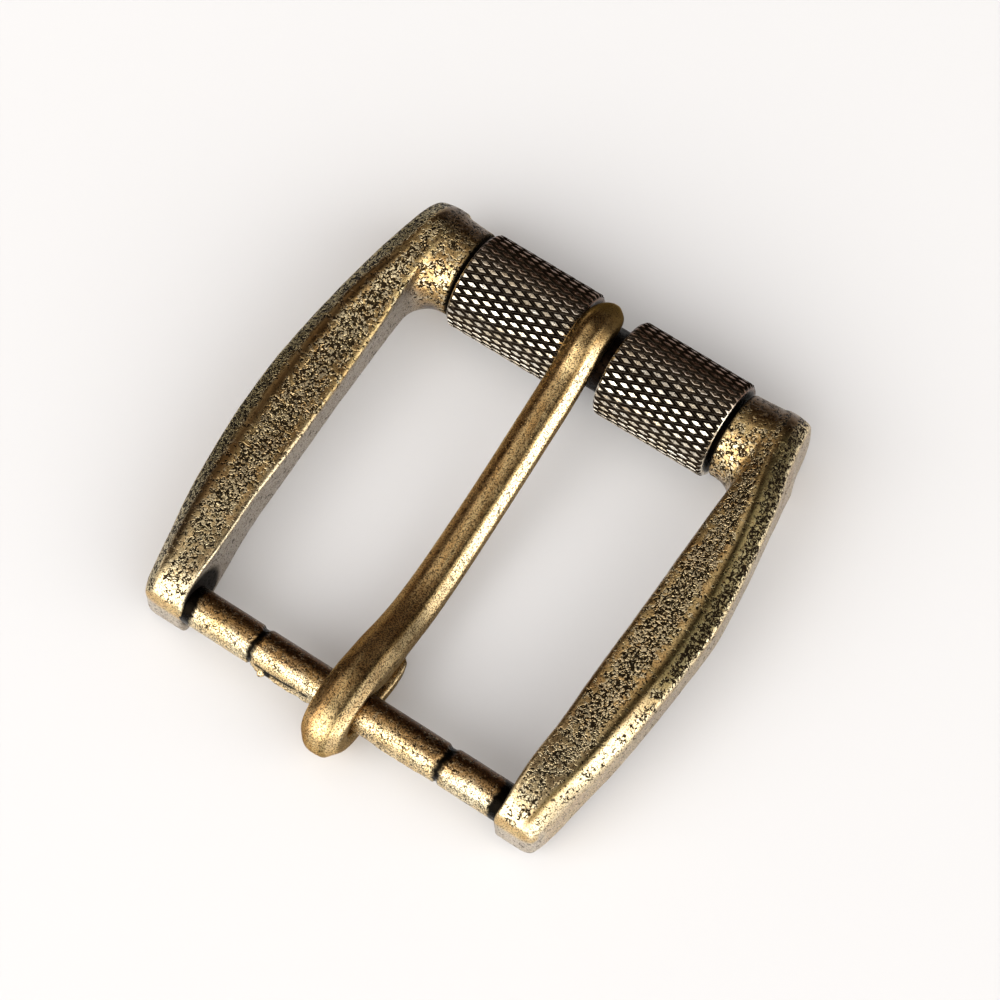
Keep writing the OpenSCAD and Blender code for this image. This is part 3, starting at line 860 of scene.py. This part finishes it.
def prong_brass(s):
    m, t, shader, place = new_material("prong brass")
    across, along = attribute(t, "across"), attribute(t, "along")

    def product(first, *more):
        for value in more:
            first = calc(t, "MULTIPLY", first, value)
        return first

    def over(value, *span):
        return ease(t, value, *span)

    # the hump over the heel bar, the left side, and lines along the right bevel, the bright one of
    # them a painted highlight
    hump = product(over(along, 1.0, 6.0), over(along, 18.0, 9.0), over(across, 0.75, 0.1))
    left = product(over(across, -0.98, -0.8), over(across, -0.05, -0.5))
    shank = over(along, 45.5, 41.5)
    crease = product(over(across, 0.24, 0.4), over(across, 0.60, 0.48), shank)
    highlight_strip = product(
        over(across, 0.50, 0.62), over(across, 0.95, 0.83), shank, over(along, 12.0, 24.0, 0.2, 1.0)
    )
    bevel = product(over(across, 0.42, 0.58), over(along, 4.0, 9.0), over(along, 25.0, 13.0))
    tip_side = product(over(along, 43.5, 46.0), over(across, 0.35, 0.6))
    tip_end = calc(t, "MAXIMUM", tip_side, over(along, 46.3, 48.2))
    tip_end = product(tip_end, over(along, 50.15, 49.8))

    o = skin(t, place, 0.12, 2.6, calc(t, "MULTIPLY_ADD", hump, 0.2, 0.74))
    line = {"X": product(across, 3.0), "Y": product(along, 0.16)}
    line = add(t, "ShaderNodeCombineXYZ", line).outputs[0]
    streak = over(noise(t, line, 1.0, 3.0, 0.6), 0.36, 0.62)
    color = layers(
        t, blend_colors(t, streak, rgba(s.brown), rgba(s.brass)),
        (o["Patch"], 0.25, s.olive),
        (calc(t, "MAXIMUM", left, hump), 0.68, s.tarnish),
        (crease, 0.55, s.crease),
        (bevel, 0.6, BEVEL_OLIVE),
        # painted highlight along the right bevel
        (highlight_strip, 0.85, s.bright),
        (over(across, 0.86, 0.97), 0.75, SIDE_OLIVE),
        (over(along, 41.5, 45.5), 0.6, s.umber),
        (tip_end, 0.85, TIP_BROWN),
        (o["Grain"], 0.8, PRONG_GRAIN),
        (o["Pits"], 0.92, PRONG_PITS),
    )
    rough = calc(t, "MULTIPLY_ADD", o["Patch"], 0.1, 0.24)
    # the tip's end and the hump are duller than the rest
    rough = calc(t, "MULTIPLY_ADD", over(along, 46.5, 48.5), 0.3, rough)
    rough = calc(t, "MULTIPLY_ADD", hump, 0.15, rough)
    shader.inputs["Specular Tint"].default_value = PRONG_EDGE_TINT
    metal(t, shader, color, rough, o["Relief"], 0.02)
    return m


def floor_paper(s):
    m, t, shader, place = new_material("pale floor")
    n = noise(t, place, 0.03, 2.0)
    color = blend_colors(t, n, rgba(s.floor), rgba([c * 0.99 for c in s.floor]))
    put(t, shader.inputs["Base Color"], color)
    put(t, shader.inputs["Roughness"], calc(t, "MULTIPLY_ADD", n, 0.05, 0.75))
    shader.inputs["Specular IOR Level"].default_value = 0.2
    return m


def material(name, make, settings):
    return bpy.data.materials.get(name) or make(settings)


KNURL_INPUTS = {
    "Columns": "Int", "Rows": "Int", "Start": "Float", "Column Pitch": "Float",
    "Radius": "Float", "Depth": "Float", "Flat Share": "Float", "Turn": "Float",
    "Centre": "Vector", "Seed": "Int", "Material": "Material",
}
# A tooth's steep part as a share of its depth, and how far its top flares out.
STEEP, FLARE = 0.86, 0.07
# Points of one tooth, then of the whole sleeve, that are closer than this are one, in metres.
TOOTH_WELD, SLEEVE_WELD = 2e-6, 8e-6


def knurl_tree():
    """Diamond teeth set out in columns and rows, then bent round a cylinder."""
    if "knurled sleeve" in bpy.data.node_groups:
        return bpy.data.node_groups["knurled sleeve"]
    g = bpy.data.node_groups.new("knurled sleeve", "GeometryNodeTree")
    new = g.interface.new_socket
    new("Geometry", in_out="INPUT", socket_type="NodeSocketGeometry")
    for name, kind in KNURL_INPUTS.items():
        new(name, in_out="INPUT", socket_type="NodeSocket" + kind)
    new("Geometry", in_out="OUTPUT", socket_type="NodeSocketGeometry")
    ins = g.nodes.new("NodeGroupInput").outputs
    out = g.nodes.new("NodeGroupOutput").inputs
    rows, pitch, flat = ins["Rows"], ins["Column Pitch"], ins["Flat Share"]
    radius, depth = ins["Radius"], ins["Depth"]

    def times(a, b):
        return calc(g, "MULTIPLY", a, b)

    def vector(**parts):
        return add(g, "ShaderNodeCombineXYZ", parts).outputs[0]

    def cone(top, bottom, height, fill):
        sizes = {"Vertices": 4, "Radius Top": top, "Radius Bottom": bottom, "Depth": height}
        return add(g, "GeometryNodeMeshCone", sizes, fill_type=fill).outputs

    def then(kind, shape, inputs=None, **props):
        inputs = {"Geometry": shape, **(inputs or {})}
        return add(g, "GeometryNode" + kind, inputs, **props).outputs[0]

    def keep(shape, name, value, domain):
        values = {"Name": name, "Value": value}
        return then("StoreNamedAttribute", shape, values, data_type="FLOAT", domain=domain)

    # one tooth: steep flanks, and a short cap that ends in the diamond's flat
    arc = calc(g, "DIVIDE", times(radius, 2 * math.pi), rows)
    wide = calc(g, "ADD", flat, FLARE)
    low = times(depth, STEEP)
    flank = cone(wide, 1.0, low, "NONE")["Mesh"]
    cap = cone(flat, wide, times(depth, 1 - STEEP), "NGON")
    cap = then("DeleteGeometry", cap["Mesh"], {"Selection": cap["Bottom"]}, domain="FACE")
    cap = then("Transform", cap, {"Translation": vector(Z=low)})
    both = add(g, "GeometryNodeJoinGeometry")
    for shape in (flank, cap):
        g.links.new(shape, both.inputs[0])
    half = vector(X=pitch, Y=times(arc, 0.5), Z=1.0)
    tooth = then("Transform", both.outputs[0], {"Scale": half})
    tooth = then("MergeByDistance", tooth, {"Distance": TOOTH_WELD})

    # set out flat in columns and rows, every other column half a row on
    index = add(g, "GeometryNodeInputIndex").outputs[0]
    column = calc(g, "FLOOR", calc(g, "DIVIDE", calc(g, "ADD", index, 0.5), rows))
    row = calc(g, "SUBTRACT", index, times(column, rows))
    odd = calc(g, "MODULO", column, 2.0)
    x = calc(g, "MULTIPLY_ADD", column, pitch, ins["Start"])
    y = times(calc(g, "MULTIPLY_ADD", odd, 0.5, row), arc)
    spots = {"Count": times(ins["Columns"], rows), "Position": vector(X=x, Y=y)}
    spots = add(g, "GeometryNodePoints", spots).outputs[0]
    sleeve = {"Points": spots, "Instance": tooth}
    sleeve = add(g, "GeometryNodeInstanceOnPoints", sleeve).outputs[0]
    tone = add(g, "FunctionNodeRandomValue", {"Seed": ins["Seed"]}, data_type="FLOAT").outputs[1]
    sleeve = then("RealizeInstances", keep(sleeve, "tone", tone, "INSTANCE"))

    # bent round the roller's axis
    here = add(g, "GeometryNodeInputPosition").outputs[0]
    where = add(g, "ShaderNodeSeparateXYZ", {"Vector": here}).outputs
    sleeve = keep(sleeve, "height", calc(g, "DIVIDE", where["Z"], depth), "POINT")
    deep = calc(g, "ADD", calc(g, "SUBTRACT", radius, depth), where["Z"])
    angle = calc(g, "ADD", calc(g, "DIVIDE", where["Y"], radius), ins["Turn"])
    bent = {"Vector": vector(X=where["X"], Z=deep), "Angle": angle}
    bent = add(g, "ShaderNodeVectorRotate", bent, rotation_type="X_AXIS").outputs[0]
    sleeve = then("SetPosition", sleeve, {"Position": vmath(g, "ADD", bent, ins["Centre"])})
    sleeve = then("MergeByDistance", sleeve, {"Distance": SLEEVE_WELD})
    sleeve = then("RealizeInstances", sleeve)
    sleeve = then("SetMaterial", sleeve, {"Material": ins["Material"]})
    put(g, out["Geometry"], sleeve)
    return g


def nodes_to_mesh(name, tree, values):
    """Plain mesh object made by a Geometry Nodes tree with these inputs."""
    scene = bpy.context.scene
    seed = bpy.data.objects.new(name + "_seed", bpy.data.meshes.new(name + "_seed"))
    scene.collection.objects.link(seed)
    mod = seed.modifiers.new("nodes", "NODES")
    mod.node_group = tree
    for item in tree.interface.items_tree:
        if item.item_type == "SOCKET" and item.in_out == "INPUT" and item.name in values:
            mod[item.identifier] = values[item.name]
    me = bpy.data.meshes.new_from_object(seed.evaluated_get(bpy.context.evaluated_depsgraph_get()))
    me.name = name
    seed.modifiers.remove(mod)
    bpy.data.objects.remove(seed)
    ob = bpy.data.objects.new(name, me)
    scene.collection.objects.link(ob)
    return ob


# Turned chamfer: how many cuts make it, and its rise for each unit of length.
CHAMFER_CUTS, CHAMFER_SLOPE = 6, 0.95
# Rings from the rim in to the bore: share of the way, and the knurl height that the
# material reads there. Then how far in the bore begins, and that height on the chamfer.
# the inner rings read low heights, so the end faces take the near black of the grooves: painted
# shadow in the gaps at the roller's ends
RIM_RINGS = ((0.08, 0.95), (0.93, 0.45), (1.0, 0.4))
BORE_CHAMFER = 0.06
TURNED_HEIGHT = 0.97


def turn_ends(ob, x0, x1, axis_y, axis_z, s):
    """Cut a knurled sleeve to length, turn its chamfers and give it its bore."""
    bm = bmesh.new()
    bm.from_mesh(ob.data)
    high = bm.verts.layers.float["height"]
    c = s.chamfer

    def angle(v):
        return math.atan2(v.co.z - axis_z, v.co.y - axis_y)

    def radius(v):
        return math.hypot(v.co.y - axis_y, v.co.z - axis_z)

    def move_to(v, goal):
        dy, dz, r = v.co.y - axis_y, v.co.z - axis_z, radius(v)
        v.co.y, v.co.z = axis_y + dy * goal / r, axis_z + dz * goal / r

    def at_end(edge, x):
        return edge.is_boundary and all(abs(v.co.x - x) < 2e-6 for v in edge.verts)

    for k in range(CHAMFER_CUTS + 1):
        d = c * k / CHAMFER_CUTS
        for x, sign in ((x0 + d, -1), (x1 - d, 1)):
            bmesh.ops.bisect_plane(
                bm, geom=bm.verts[:] + bm.edges[:] + bm.faces[:], dist=1e-7,
                plane_co=(x, 0, 0), plane_no=(sign, 0, 0), clear_outer=k == 0,
            )
    for v in bm.verts:
        d = min(v.co.x - x0, x1 - v.co.x)
        most = s.radius - max(0.0, c - d) * CHAMFER_SLOPE
        if radius(v) > most:
            if most < s.radius - s.depth:
                v[high] = TURNED_HEIGHT
            move_to(v, most)
    loops = []
    for x, inward in ((x0, 1), (x1, -1)):
        rim = [e for e in bm.edges if at_end(e, x)]
        for share, height in RIM_RINGS:
            new = bmesh.ops.extrude_edge_only(bm, edges=rim)["geom"]
            for v in [g for g in new if isinstance(g, bmesh.types.BMVert)]:
                move_to(v, (s.radius - c * CHAMFER_SLOPE) * (1 - share) + s.bore * share)
                v.co.x = x + (BORE_CHAMFER * MM if share == 1.0 else 0) * inward
                v[high] = height
            rim = [g for g in new if isinstance(g, bmesh.types.BMEdge)]
        loops.append(sorted({v for e in rim for v in e.verts}, key=angle))

    # join the two ends' inner rings, whose points don't match, as the bore
    a, b = loops
    at_a, at_b = ([angle(v) for v in ring] + [angle(ring[0]) + 2 * math.pi] for ring in loops)
    i = j = 0
    while i < len(a) or j < len(b):
        if j >= len(b) or (i < len(a) and at_a[i + 1] <= at_b[j + 1]):
            bm.faces.new((a[i % len(a)], a[(i + 1) % len(a)], b[j % len(b)]))
            i += 1
        else:
            bm.faces.new((a[i % len(a)], b[(j + 1) % len(b)], b[j % len(b)]))
            j += 1
    bmesh.ops.dissolve_degenerate(bm, dist=2e-6, edges=bm.edges[:])
    bmesh.ops.recalc_face_normals(bm, faces=bm.faces)
    bm.to_mesh(ob.data)
    bm.free()


# Each roller's ends and the middle of its first column, in millimetres, how far the
# knurl is turned in degrees, and its seed.
ROLLERS = {
    "roller_left": (-15.95, -2.90, -16.76, 29.6, 3),
    "roller_right": (2.30, 15.65, 1.33, 33.2, 5),
}
KNURL_COLUMNS = 13
# The strip of painted shade on each roller's top and back, where its flats mirror the dark side of
# the room: the middle of it, and where the shade begins to fade and is gone, in degrees.
SHADE_ANGLE, SHADE_FADE_FROM, SHADE_GONE_AT = 40, 26, 72


def build_roller(name, s, mat):
    """One knurled sleeve on the front bar. Its first column lies at a measured place."""
    x0, x1, first, turn, seed = ROLLERS[name]
    axis_y, axis_z = HEEL_Y + PITCH * MM, BAR_Z * MM
    ob = nodes_to_mesh(
        name + "_knurl", knurl_tree(),
        {
            "Columns": KNURL_COLUMNS, "Rows": s.rows, "Start": first * MM,
            "Column Pitch": s.column_pitch, "Radius": s.radius, "Depth": s.depth,
            "Flat Share": s.flat_share, "Turn": math.radians(turn),
            "Centre": (0.0, axis_y, axis_z), "Seed": seed, "Material": mat,
        },
    )
    turn_ends(ob, x0 * MM, x1 * MM, axis_y, axis_z, s)
    co = np.empty(3 * len(ob.data.vertices))
    ob.data.vertices.foreach_get("co", co)
    co = co.reshape(-1, 3)
    angle = np.degrees(np.arctan2(co[:, 2] - axis_z, co[:, 1] - axis_y)) % 360
    # painted shade on the flats of the strip that faces up and back
    from_shade = np.abs((angle - SHADE_ANGLE + 180) % 360 - 180)
    set_attribute(ob, "out_of_painted_shade", smooth(from_shade, SHADE_FADE_FROM, SHADE_GONE_AT))
    return ob


# A colour and a length that a user can set.
Color = partial(FloatVectorProperty, subtype="COLOR", size=3)
Length = partial(FloatProperty, unit="LENGTH", precision=5)


class BuckleCastingSettings(bpy.types.PropertyGroup):
    grid: Length(name="Grid", description="Cell size of the casting's mesh", default=0.00024)
    unevenness: Length(
        name="Unevenness", description="Height of the waves in the cast surface",
        default=0.000014, precision=6,
    )
    pit_depth: Length(name="Pit Depth", description="Depth of the casting pits", default=0.0001)
    brass: Color(name="Brass", description="Clean patches of the metal", default=(0.88, 0.64, 0.31))
    brown: Color(
        name="Brown", description="Tarnished patches of the metal", default=(0.62, 0.38, 0.15)
    )
    olive: Color(name="Olive", description="Dull green-grey tarnish", default=(0.50, 0.43, 0.20))
    # painted shade along the ridge, where its rounding mirrors the dark side of the room
    ridge: Color(
        name="Ridge", description="Brown tarnish along the ridge", default=(0.06, 0.026, 0.007)
    )
    dull: Color(
        name="Dull", description="Dark olive tarnish of the outer facets",
        default=(0.21, 0.18, 0.085),
    )
    # painted shade along the right arm's ridge, mixed with its olive tarnish
    crest_shade_and_tarnish: Color(
        name="Crest", description="Dark olive tarnish along the right arm's ridge",
        default=(0.08, 0.062, 0.022),
    )
    wall: Color(name="Wall", description="Plain grey-brown walls", default=(0.62, 0.56, 0.47))
    # rubbed wear, and painted highlight on the edges, the heel and the tops of the lumps
    bright: Color(
        name="Bright", description="Metal that is rubbed bright", default=(0.97, 0.85, 0.58)
    )


class BuckleRollerSettings(bpy.types.PropertyGroup):
    radius: Length(
        name="Radius", description="Radius over the knurl's flats", default=ROLLER_R * MM
    )
    bore: Length(
        name="Bore Radius", description="Radius of the hole for the front bar", default=0.00366
    )
    chamfer: Length(name="Chamfer", description="Chamfer at each end", default=0.00034)
    rows: IntProperty(name="Rows", description="Diamonds round the roller", default=38)
    column_pitch: Length(
        name="Column Pitch", description="Distance from one column of diamonds to the next",
        default=0.001205, precision=6,
    )
    depth: Length(name="Depth", description="Depth of the knurl's grooves", default=0.00023)
    flat_share: FloatProperty(
        name="Flat Share", description="Size of a diamond's flat top, as a share of its cell",
        default=0.44, subtype="FACTOR",
    )
    flat_bright: Color(
        name="Bright Flat", description="Flats that are worn bright", default=(1.0, 0.94, 0.82)
    )
    flat_dull: Color(
        name="Dull Flat", description="Flats that are less worn", default=(0.90, 0.78, 0.58)
    )
    # painted shade on the flats on the roller's top and back
    flat_shade: Color(
        name="Dark Flat", description="Flats on the strip that is still tarnished",
        default=(0.20, 0.115, 0.075),
    )
    # the near black of the teeth's flanks and the end faces, a painted shade
    groove: Color(name="Groove", description="Dirt in the grooves", default=(0.012, 0.008, 0.005))
    floor_line: Color(
        name="Groove Floor", description="Lighter line along the floor of a groove",
        default=(0.16, 0.13, 0.10),
    )


class BuckleProngSettings(bpy.types.PropertyGroup):
    # painted highlight along the prong's right bevel
    bright: Color(
        name="Bright", description="Grains that are rubbed bright", default=(0.97, 0.85, 0.58)
    )
    brass: Color(name="Brass", description="Clean patches of the prong", default=(0.88, 0.64, 0.31))
    brown: Color(
        name="Brown", description="Tarnished patches of the prong", default=(0.62, 0.38, 0.15)
    )
    olive: Color(name="Olive", description="Dull green-grey tarnish", default=(0.46, 0.38, 0.20))
    crease: Color(
        name="Crease", description="Dark line where the right bevel meets the top",
        default=(0.17, 0.12, 0.045),
    )
    umber: Color(name="Umber", description="Brown tarnish of the tip", default=(0.24, 0.15, 0.055))
    tarnish: Color(
        name="Tarnish", description="Dark brown along the left side and the hump",
        default=(0.42, 0.235, 0.09),
    )


class BuckleStageSettings(bpy.types.PropertyGroup):
    floor: Color(name="Floor", description="Colour of the floor", default=(0.7, 0.693, 0.699))
    bright_side: FloatProperty(
        name="Bright Side", description="Light from the bright side of the room", default=3.0
    )
    lamp: FloatProperty(
        name="Lamp", description="Light from the faint lamp high on the left", default=0.85
    )
    dark_side: FloatProperty(
        name="Dark Side", description="Light from the rest of the room", default=0.06
    )
    fill: FloatProperty(
        name="Fill", description="Even light that only matt surfaces show", default=0.27
    )
    key: FloatProperty(
        name="Key", description="Power of the large soft light", default=2.85, unit="POWER"
    )


def piece(ob, body, slot, *replaced):
    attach(ob, body)
    if replaced:
        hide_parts(*replaced)


class BuckleOperator:
    bl_options = {"REGISTER", "UNDO"}


class BUCKLE_OT_casting(BuckleOperator, bpy.types.Operator):
    """Build the two arms and their bosses as one casting"""

    bl_idname = "buckle.casting"
    bl_label = "Casting"

    def execute(self, context):
        s = context.scene.buckle_casting
        material("cast brass", cast_brass, s)
        ob = build_casting(s.grid / MM, s.unevenness / MM)
        piece(ob, "frame", "cast_brass", "frame")
        return {"FINISHED"}


class BUCKLE_OT_bars(BuckleOperator, bpy.types.Operator):
    """Build the heel bar and the front bar"""

    bl_idname = "buckle.bars"
    bl_label = "Bars"

    def execute(self, context):
        s = context.scene.buckle_casting
        material("bar brass", bar_brass, s)
        material("shaded front bar", shaded_front_bar, s)
        piece(build_heel_bar(), "frame", "cast_brass")
        piece(build_front_bar(), "frame", "cast_brass")
        return {"FINISHED"}


class BUCKLE_OT_rollers(BuckleOperator, bpy.types.Operator):
    """Build the two knurled rollers"""

    bl_idname = "buckle.rollers"
    bl_label = "Rollers"

    def execute(self, context):
        s = context.scene.buckle_roller
        mat = material("knurled brass", knurled_brass, s)
        for body in ROLLERS:
            piece(build_roller(body, s, mat), body, "knurled_brass", body)
        return {"FINISHED"}


class BUCKLE_OT_prong(BuckleOperator, bpy.types.Operator):
    """Build the prong"""

    bl_idname = "buckle.prong"
    bl_label = "Prong"

    def execute(self, context):
        material("prong brass", prong_brass, context.scene.buckle_prong)
        piece(build_prong(), "prong", "prong_brass", "prong")
        return {"FINISHED"}


# The photograph's camera: azimuth, elevation and roll in degrees, the place it looks
# at and its distance in millimetres, its sensor, and its lens as a share of that.
CAMERA_ANGLES = (34.771, 65.825, -0.699)
CAMERA_TARGET, CAMERA_DISTANCE = (-0.896, 28.519), 383.436
SENSOR, LENS_SHARE = 36, 3.70849


def photo_camera():
    """Camera at the photograph's viewing angle."""
    cam = bpy.data.cameras.new("camera")
    ob = link_new("camera", cam)
    bpy.context.scene.camera = ob
    a, e, roll = map(math.radians, CAMERA_ANGLES)
    back = Vector((math.sin(a) * math.cos(e), -math.cos(a) * math.cos(e), math.sin(e)))
    right = Vector((math.cos(a), math.sin(a), 0))
    up = back.cross(right)
    x = right * math.cos(roll) + up * math.sin(roll)
    y = -right * math.sin(roll) + up * math.cos(roll)
    target = Vector((CAMERA_TARGET[0] * MM, CAMERA_TARGET[1] * MM + HEEL_Y, 0))
    at = target + back * CAMERA_DISTANCE * MM
    rows = [(x[k], y[k], back[k], at[k]) for k in range(3)]
    ob.matrix_world = Matrix((*rows, (0, 0, 0, 1)))
    cam.sensor_width = SENSOR
    cam.lens = LENS_SHARE * SENSOR
    cam.clip_start, cam.clip_end = 0.01, 20


def aim(ob, at, target):
    ob.location = at
    ob.rotation_euler = (Vector(target) - Vector(at)).to_track_quat("-Z", "Y").to_euler()


# Azimuth of the room's bright side, the lamp's azimuth and elevation and where its
# light begins and is full, in degrees, and the height over which the bright side ends.
BRIGHT_AZIMUTH = 33
LAMP_PLACE, LAMP_EDGE, LAMP_FULL = (-105, 64), 24, 8
BRIGHT_TOP, BRIGHT_FADE = 0.96, 0.42


def room_light(s):
    """A dark room that is bright on one side and has a faint lamp high on the left."""
    w = bpy.data.worlds.new("room")
    bpy.context.scene.world = w
    w.use_nodes = True
    t = w.node_tree
    ray = add(t, "ShaderNodeTexCoord").outputs["Generated"]
    x, y, z = add(t, "ShaderNodeSeparateXYZ", {"Vector": ray}).outputs
    level = vmath(t, "NORMALIZE", add(t, "ShaderNodeCombineXYZ", {"X": x, "Y": y}).outputs[0])

    def toward(vector, azimuth, elevation):
        a, e = math.radians(azimuth), math.radians(elevation)
        goal = (math.sin(a) * math.cos(e), -math.cos(a) * math.cos(e), math.sin(e))
        n = add(t, "ShaderNodeVectorMath", {0: vector, 1: goal}, operation="DOT_PRODUCT")
        return n.outputs["Value"]

    side = ease(t, toward(level, BRIGHT_AZIMUTH, 0), -0.25, 0.2)
    ramp = calc(
        t, "MULTIPLY_ADD", z, -1 / BRIGHT_FADE, BRIGHT_TOP / BRIGHT_FADE, clamp=True
    )
    bright = calc(t, "MULTIPLY", side, ramp)
    edge, full = (math.cos(math.radians(a)) for a in (LAMP_EDGE, LAMP_FULL))
    lamp = ease(t, toward(ray, *LAMP_PLACE), edge, full)
    color = layers(
        t, rgba([c * s.dark_side for c in (1.0, 0.66, 0.42)]),
        (lamp, 1, [c * s.lamp for c in (1.0, 0.93, 0.84)]),
        (bright, 1, [c * s.bright_side for c in (1.0, 0.99, 0.965)]),
    )
    path = add(t, "ShaderNodeLightPath").outputs
    fill = add(t, "ShaderNodeMix", data_type="RGBA", blend_type="ADD")
    put(t, fill.inputs[0], path["Is Diffuse Ray"])
    put(t, fill.inputs[6], color)
    put(t, fill.inputs[7], rgba([s.fill] * 3))
    color = blend_colors(t, path["Is Camera Ray"], fill.outputs[2], rgba((0.86, 0.85, 0.84)))
    put(t, t.nodes["Background"].inputs["Color"], color)


class BUCKLE_OT_stage(BuckleOperator, bpy.types.Operator):
    """Set up the floor, the soft light and the camera"""

    bl_idname = "buckle.stage"
    bl_label = "Stage"

    def execute(self, context):
        s = context.scene.buckle_stage
        bm = bmesh.new()
        bmesh.ops.create_grid(bm, x_segments=2, y_segments=2, size=1.5)
        me = bpy.data.meshes.new("floor")
        bm.to_mesh(me)
        bm.free()
        me.materials.append(material("pale floor", floor_paper, s))
        ob = link_new("floor", me)
        ob.location = (0, 0, -0.00002)
        photo_camera()
        room_light(s)
        key = bpy.data.lights.new("key", "AREA")
        key.shape, key.size, key.size_y, key.energy = "RECTANGLE", 1.0, 0.75, s.key
        aim(link_new("key", key), (-0.24, -0.62, 0.55), (0, 0, 0))
        context.scene.view_settings.view_transform = "Standard"
        return {"FINISHED"}


class BUCKLE_PT_panel(bpy.types.Panel):
    """Buttons and sizes of the buckle"""

    bl_idname = "BUCKLE_PT_panel"
    bl_label = "Roller Buckle"
    bl_space_type = "VIEW_3D"
    bl_region_type = "UI"
    bl_category = "Buckle"

    def draw(self, context):
        for op, group in STEPS:
            self.layout.operator("buckle." + op)
            settings = getattr(context.scene, group)
            for key in settings.__annotations__:
                self.layout.prop(settings, key)


STEPS = (
    ("casting", "buckle_casting"),
    ("bars", "buckle_casting"),
    ("rollers", "buckle_roller"),
    ("prong", "buckle_prong"),
    ("stage", "buckle_stage"),
)
GROUPS = {
    "buckle_casting": BuckleCastingSettings,
    "buckle_roller": BuckleRollerSettings,
    "buckle_prong": BuckleProngSettings,
    "buckle_stage": BuckleStageSettings,
}
OPERATORS = (
    BUCKLE_OT_casting,
    BUCKLE_OT_bars,
    BUCKLE_OT_rollers,
    BUCKLE_OT_prong,
    BUCKLE_OT_stage,
)
CLASSES = (*GROUPS.values(), *OPERATORS, BUCKLE_PT_panel)


def register():
    for c in CLASSES:
        bpy.utils.register_class(c)
    for name, group in GROUPS.items():
        setattr(bpy.types.Scene, name, PointerProperty(type=group))


def unregister():
    for name in GROUPS:
        delattr(bpy.types.Scene, name)
    for c in reversed(CLASSES):
        bpy.utils.unregister_class(c)


def main():
    register()
    for op, _ in STEPS:
        getattr(bpy.ops.buckle, op)()


if __name__ == "__main__":
    main()
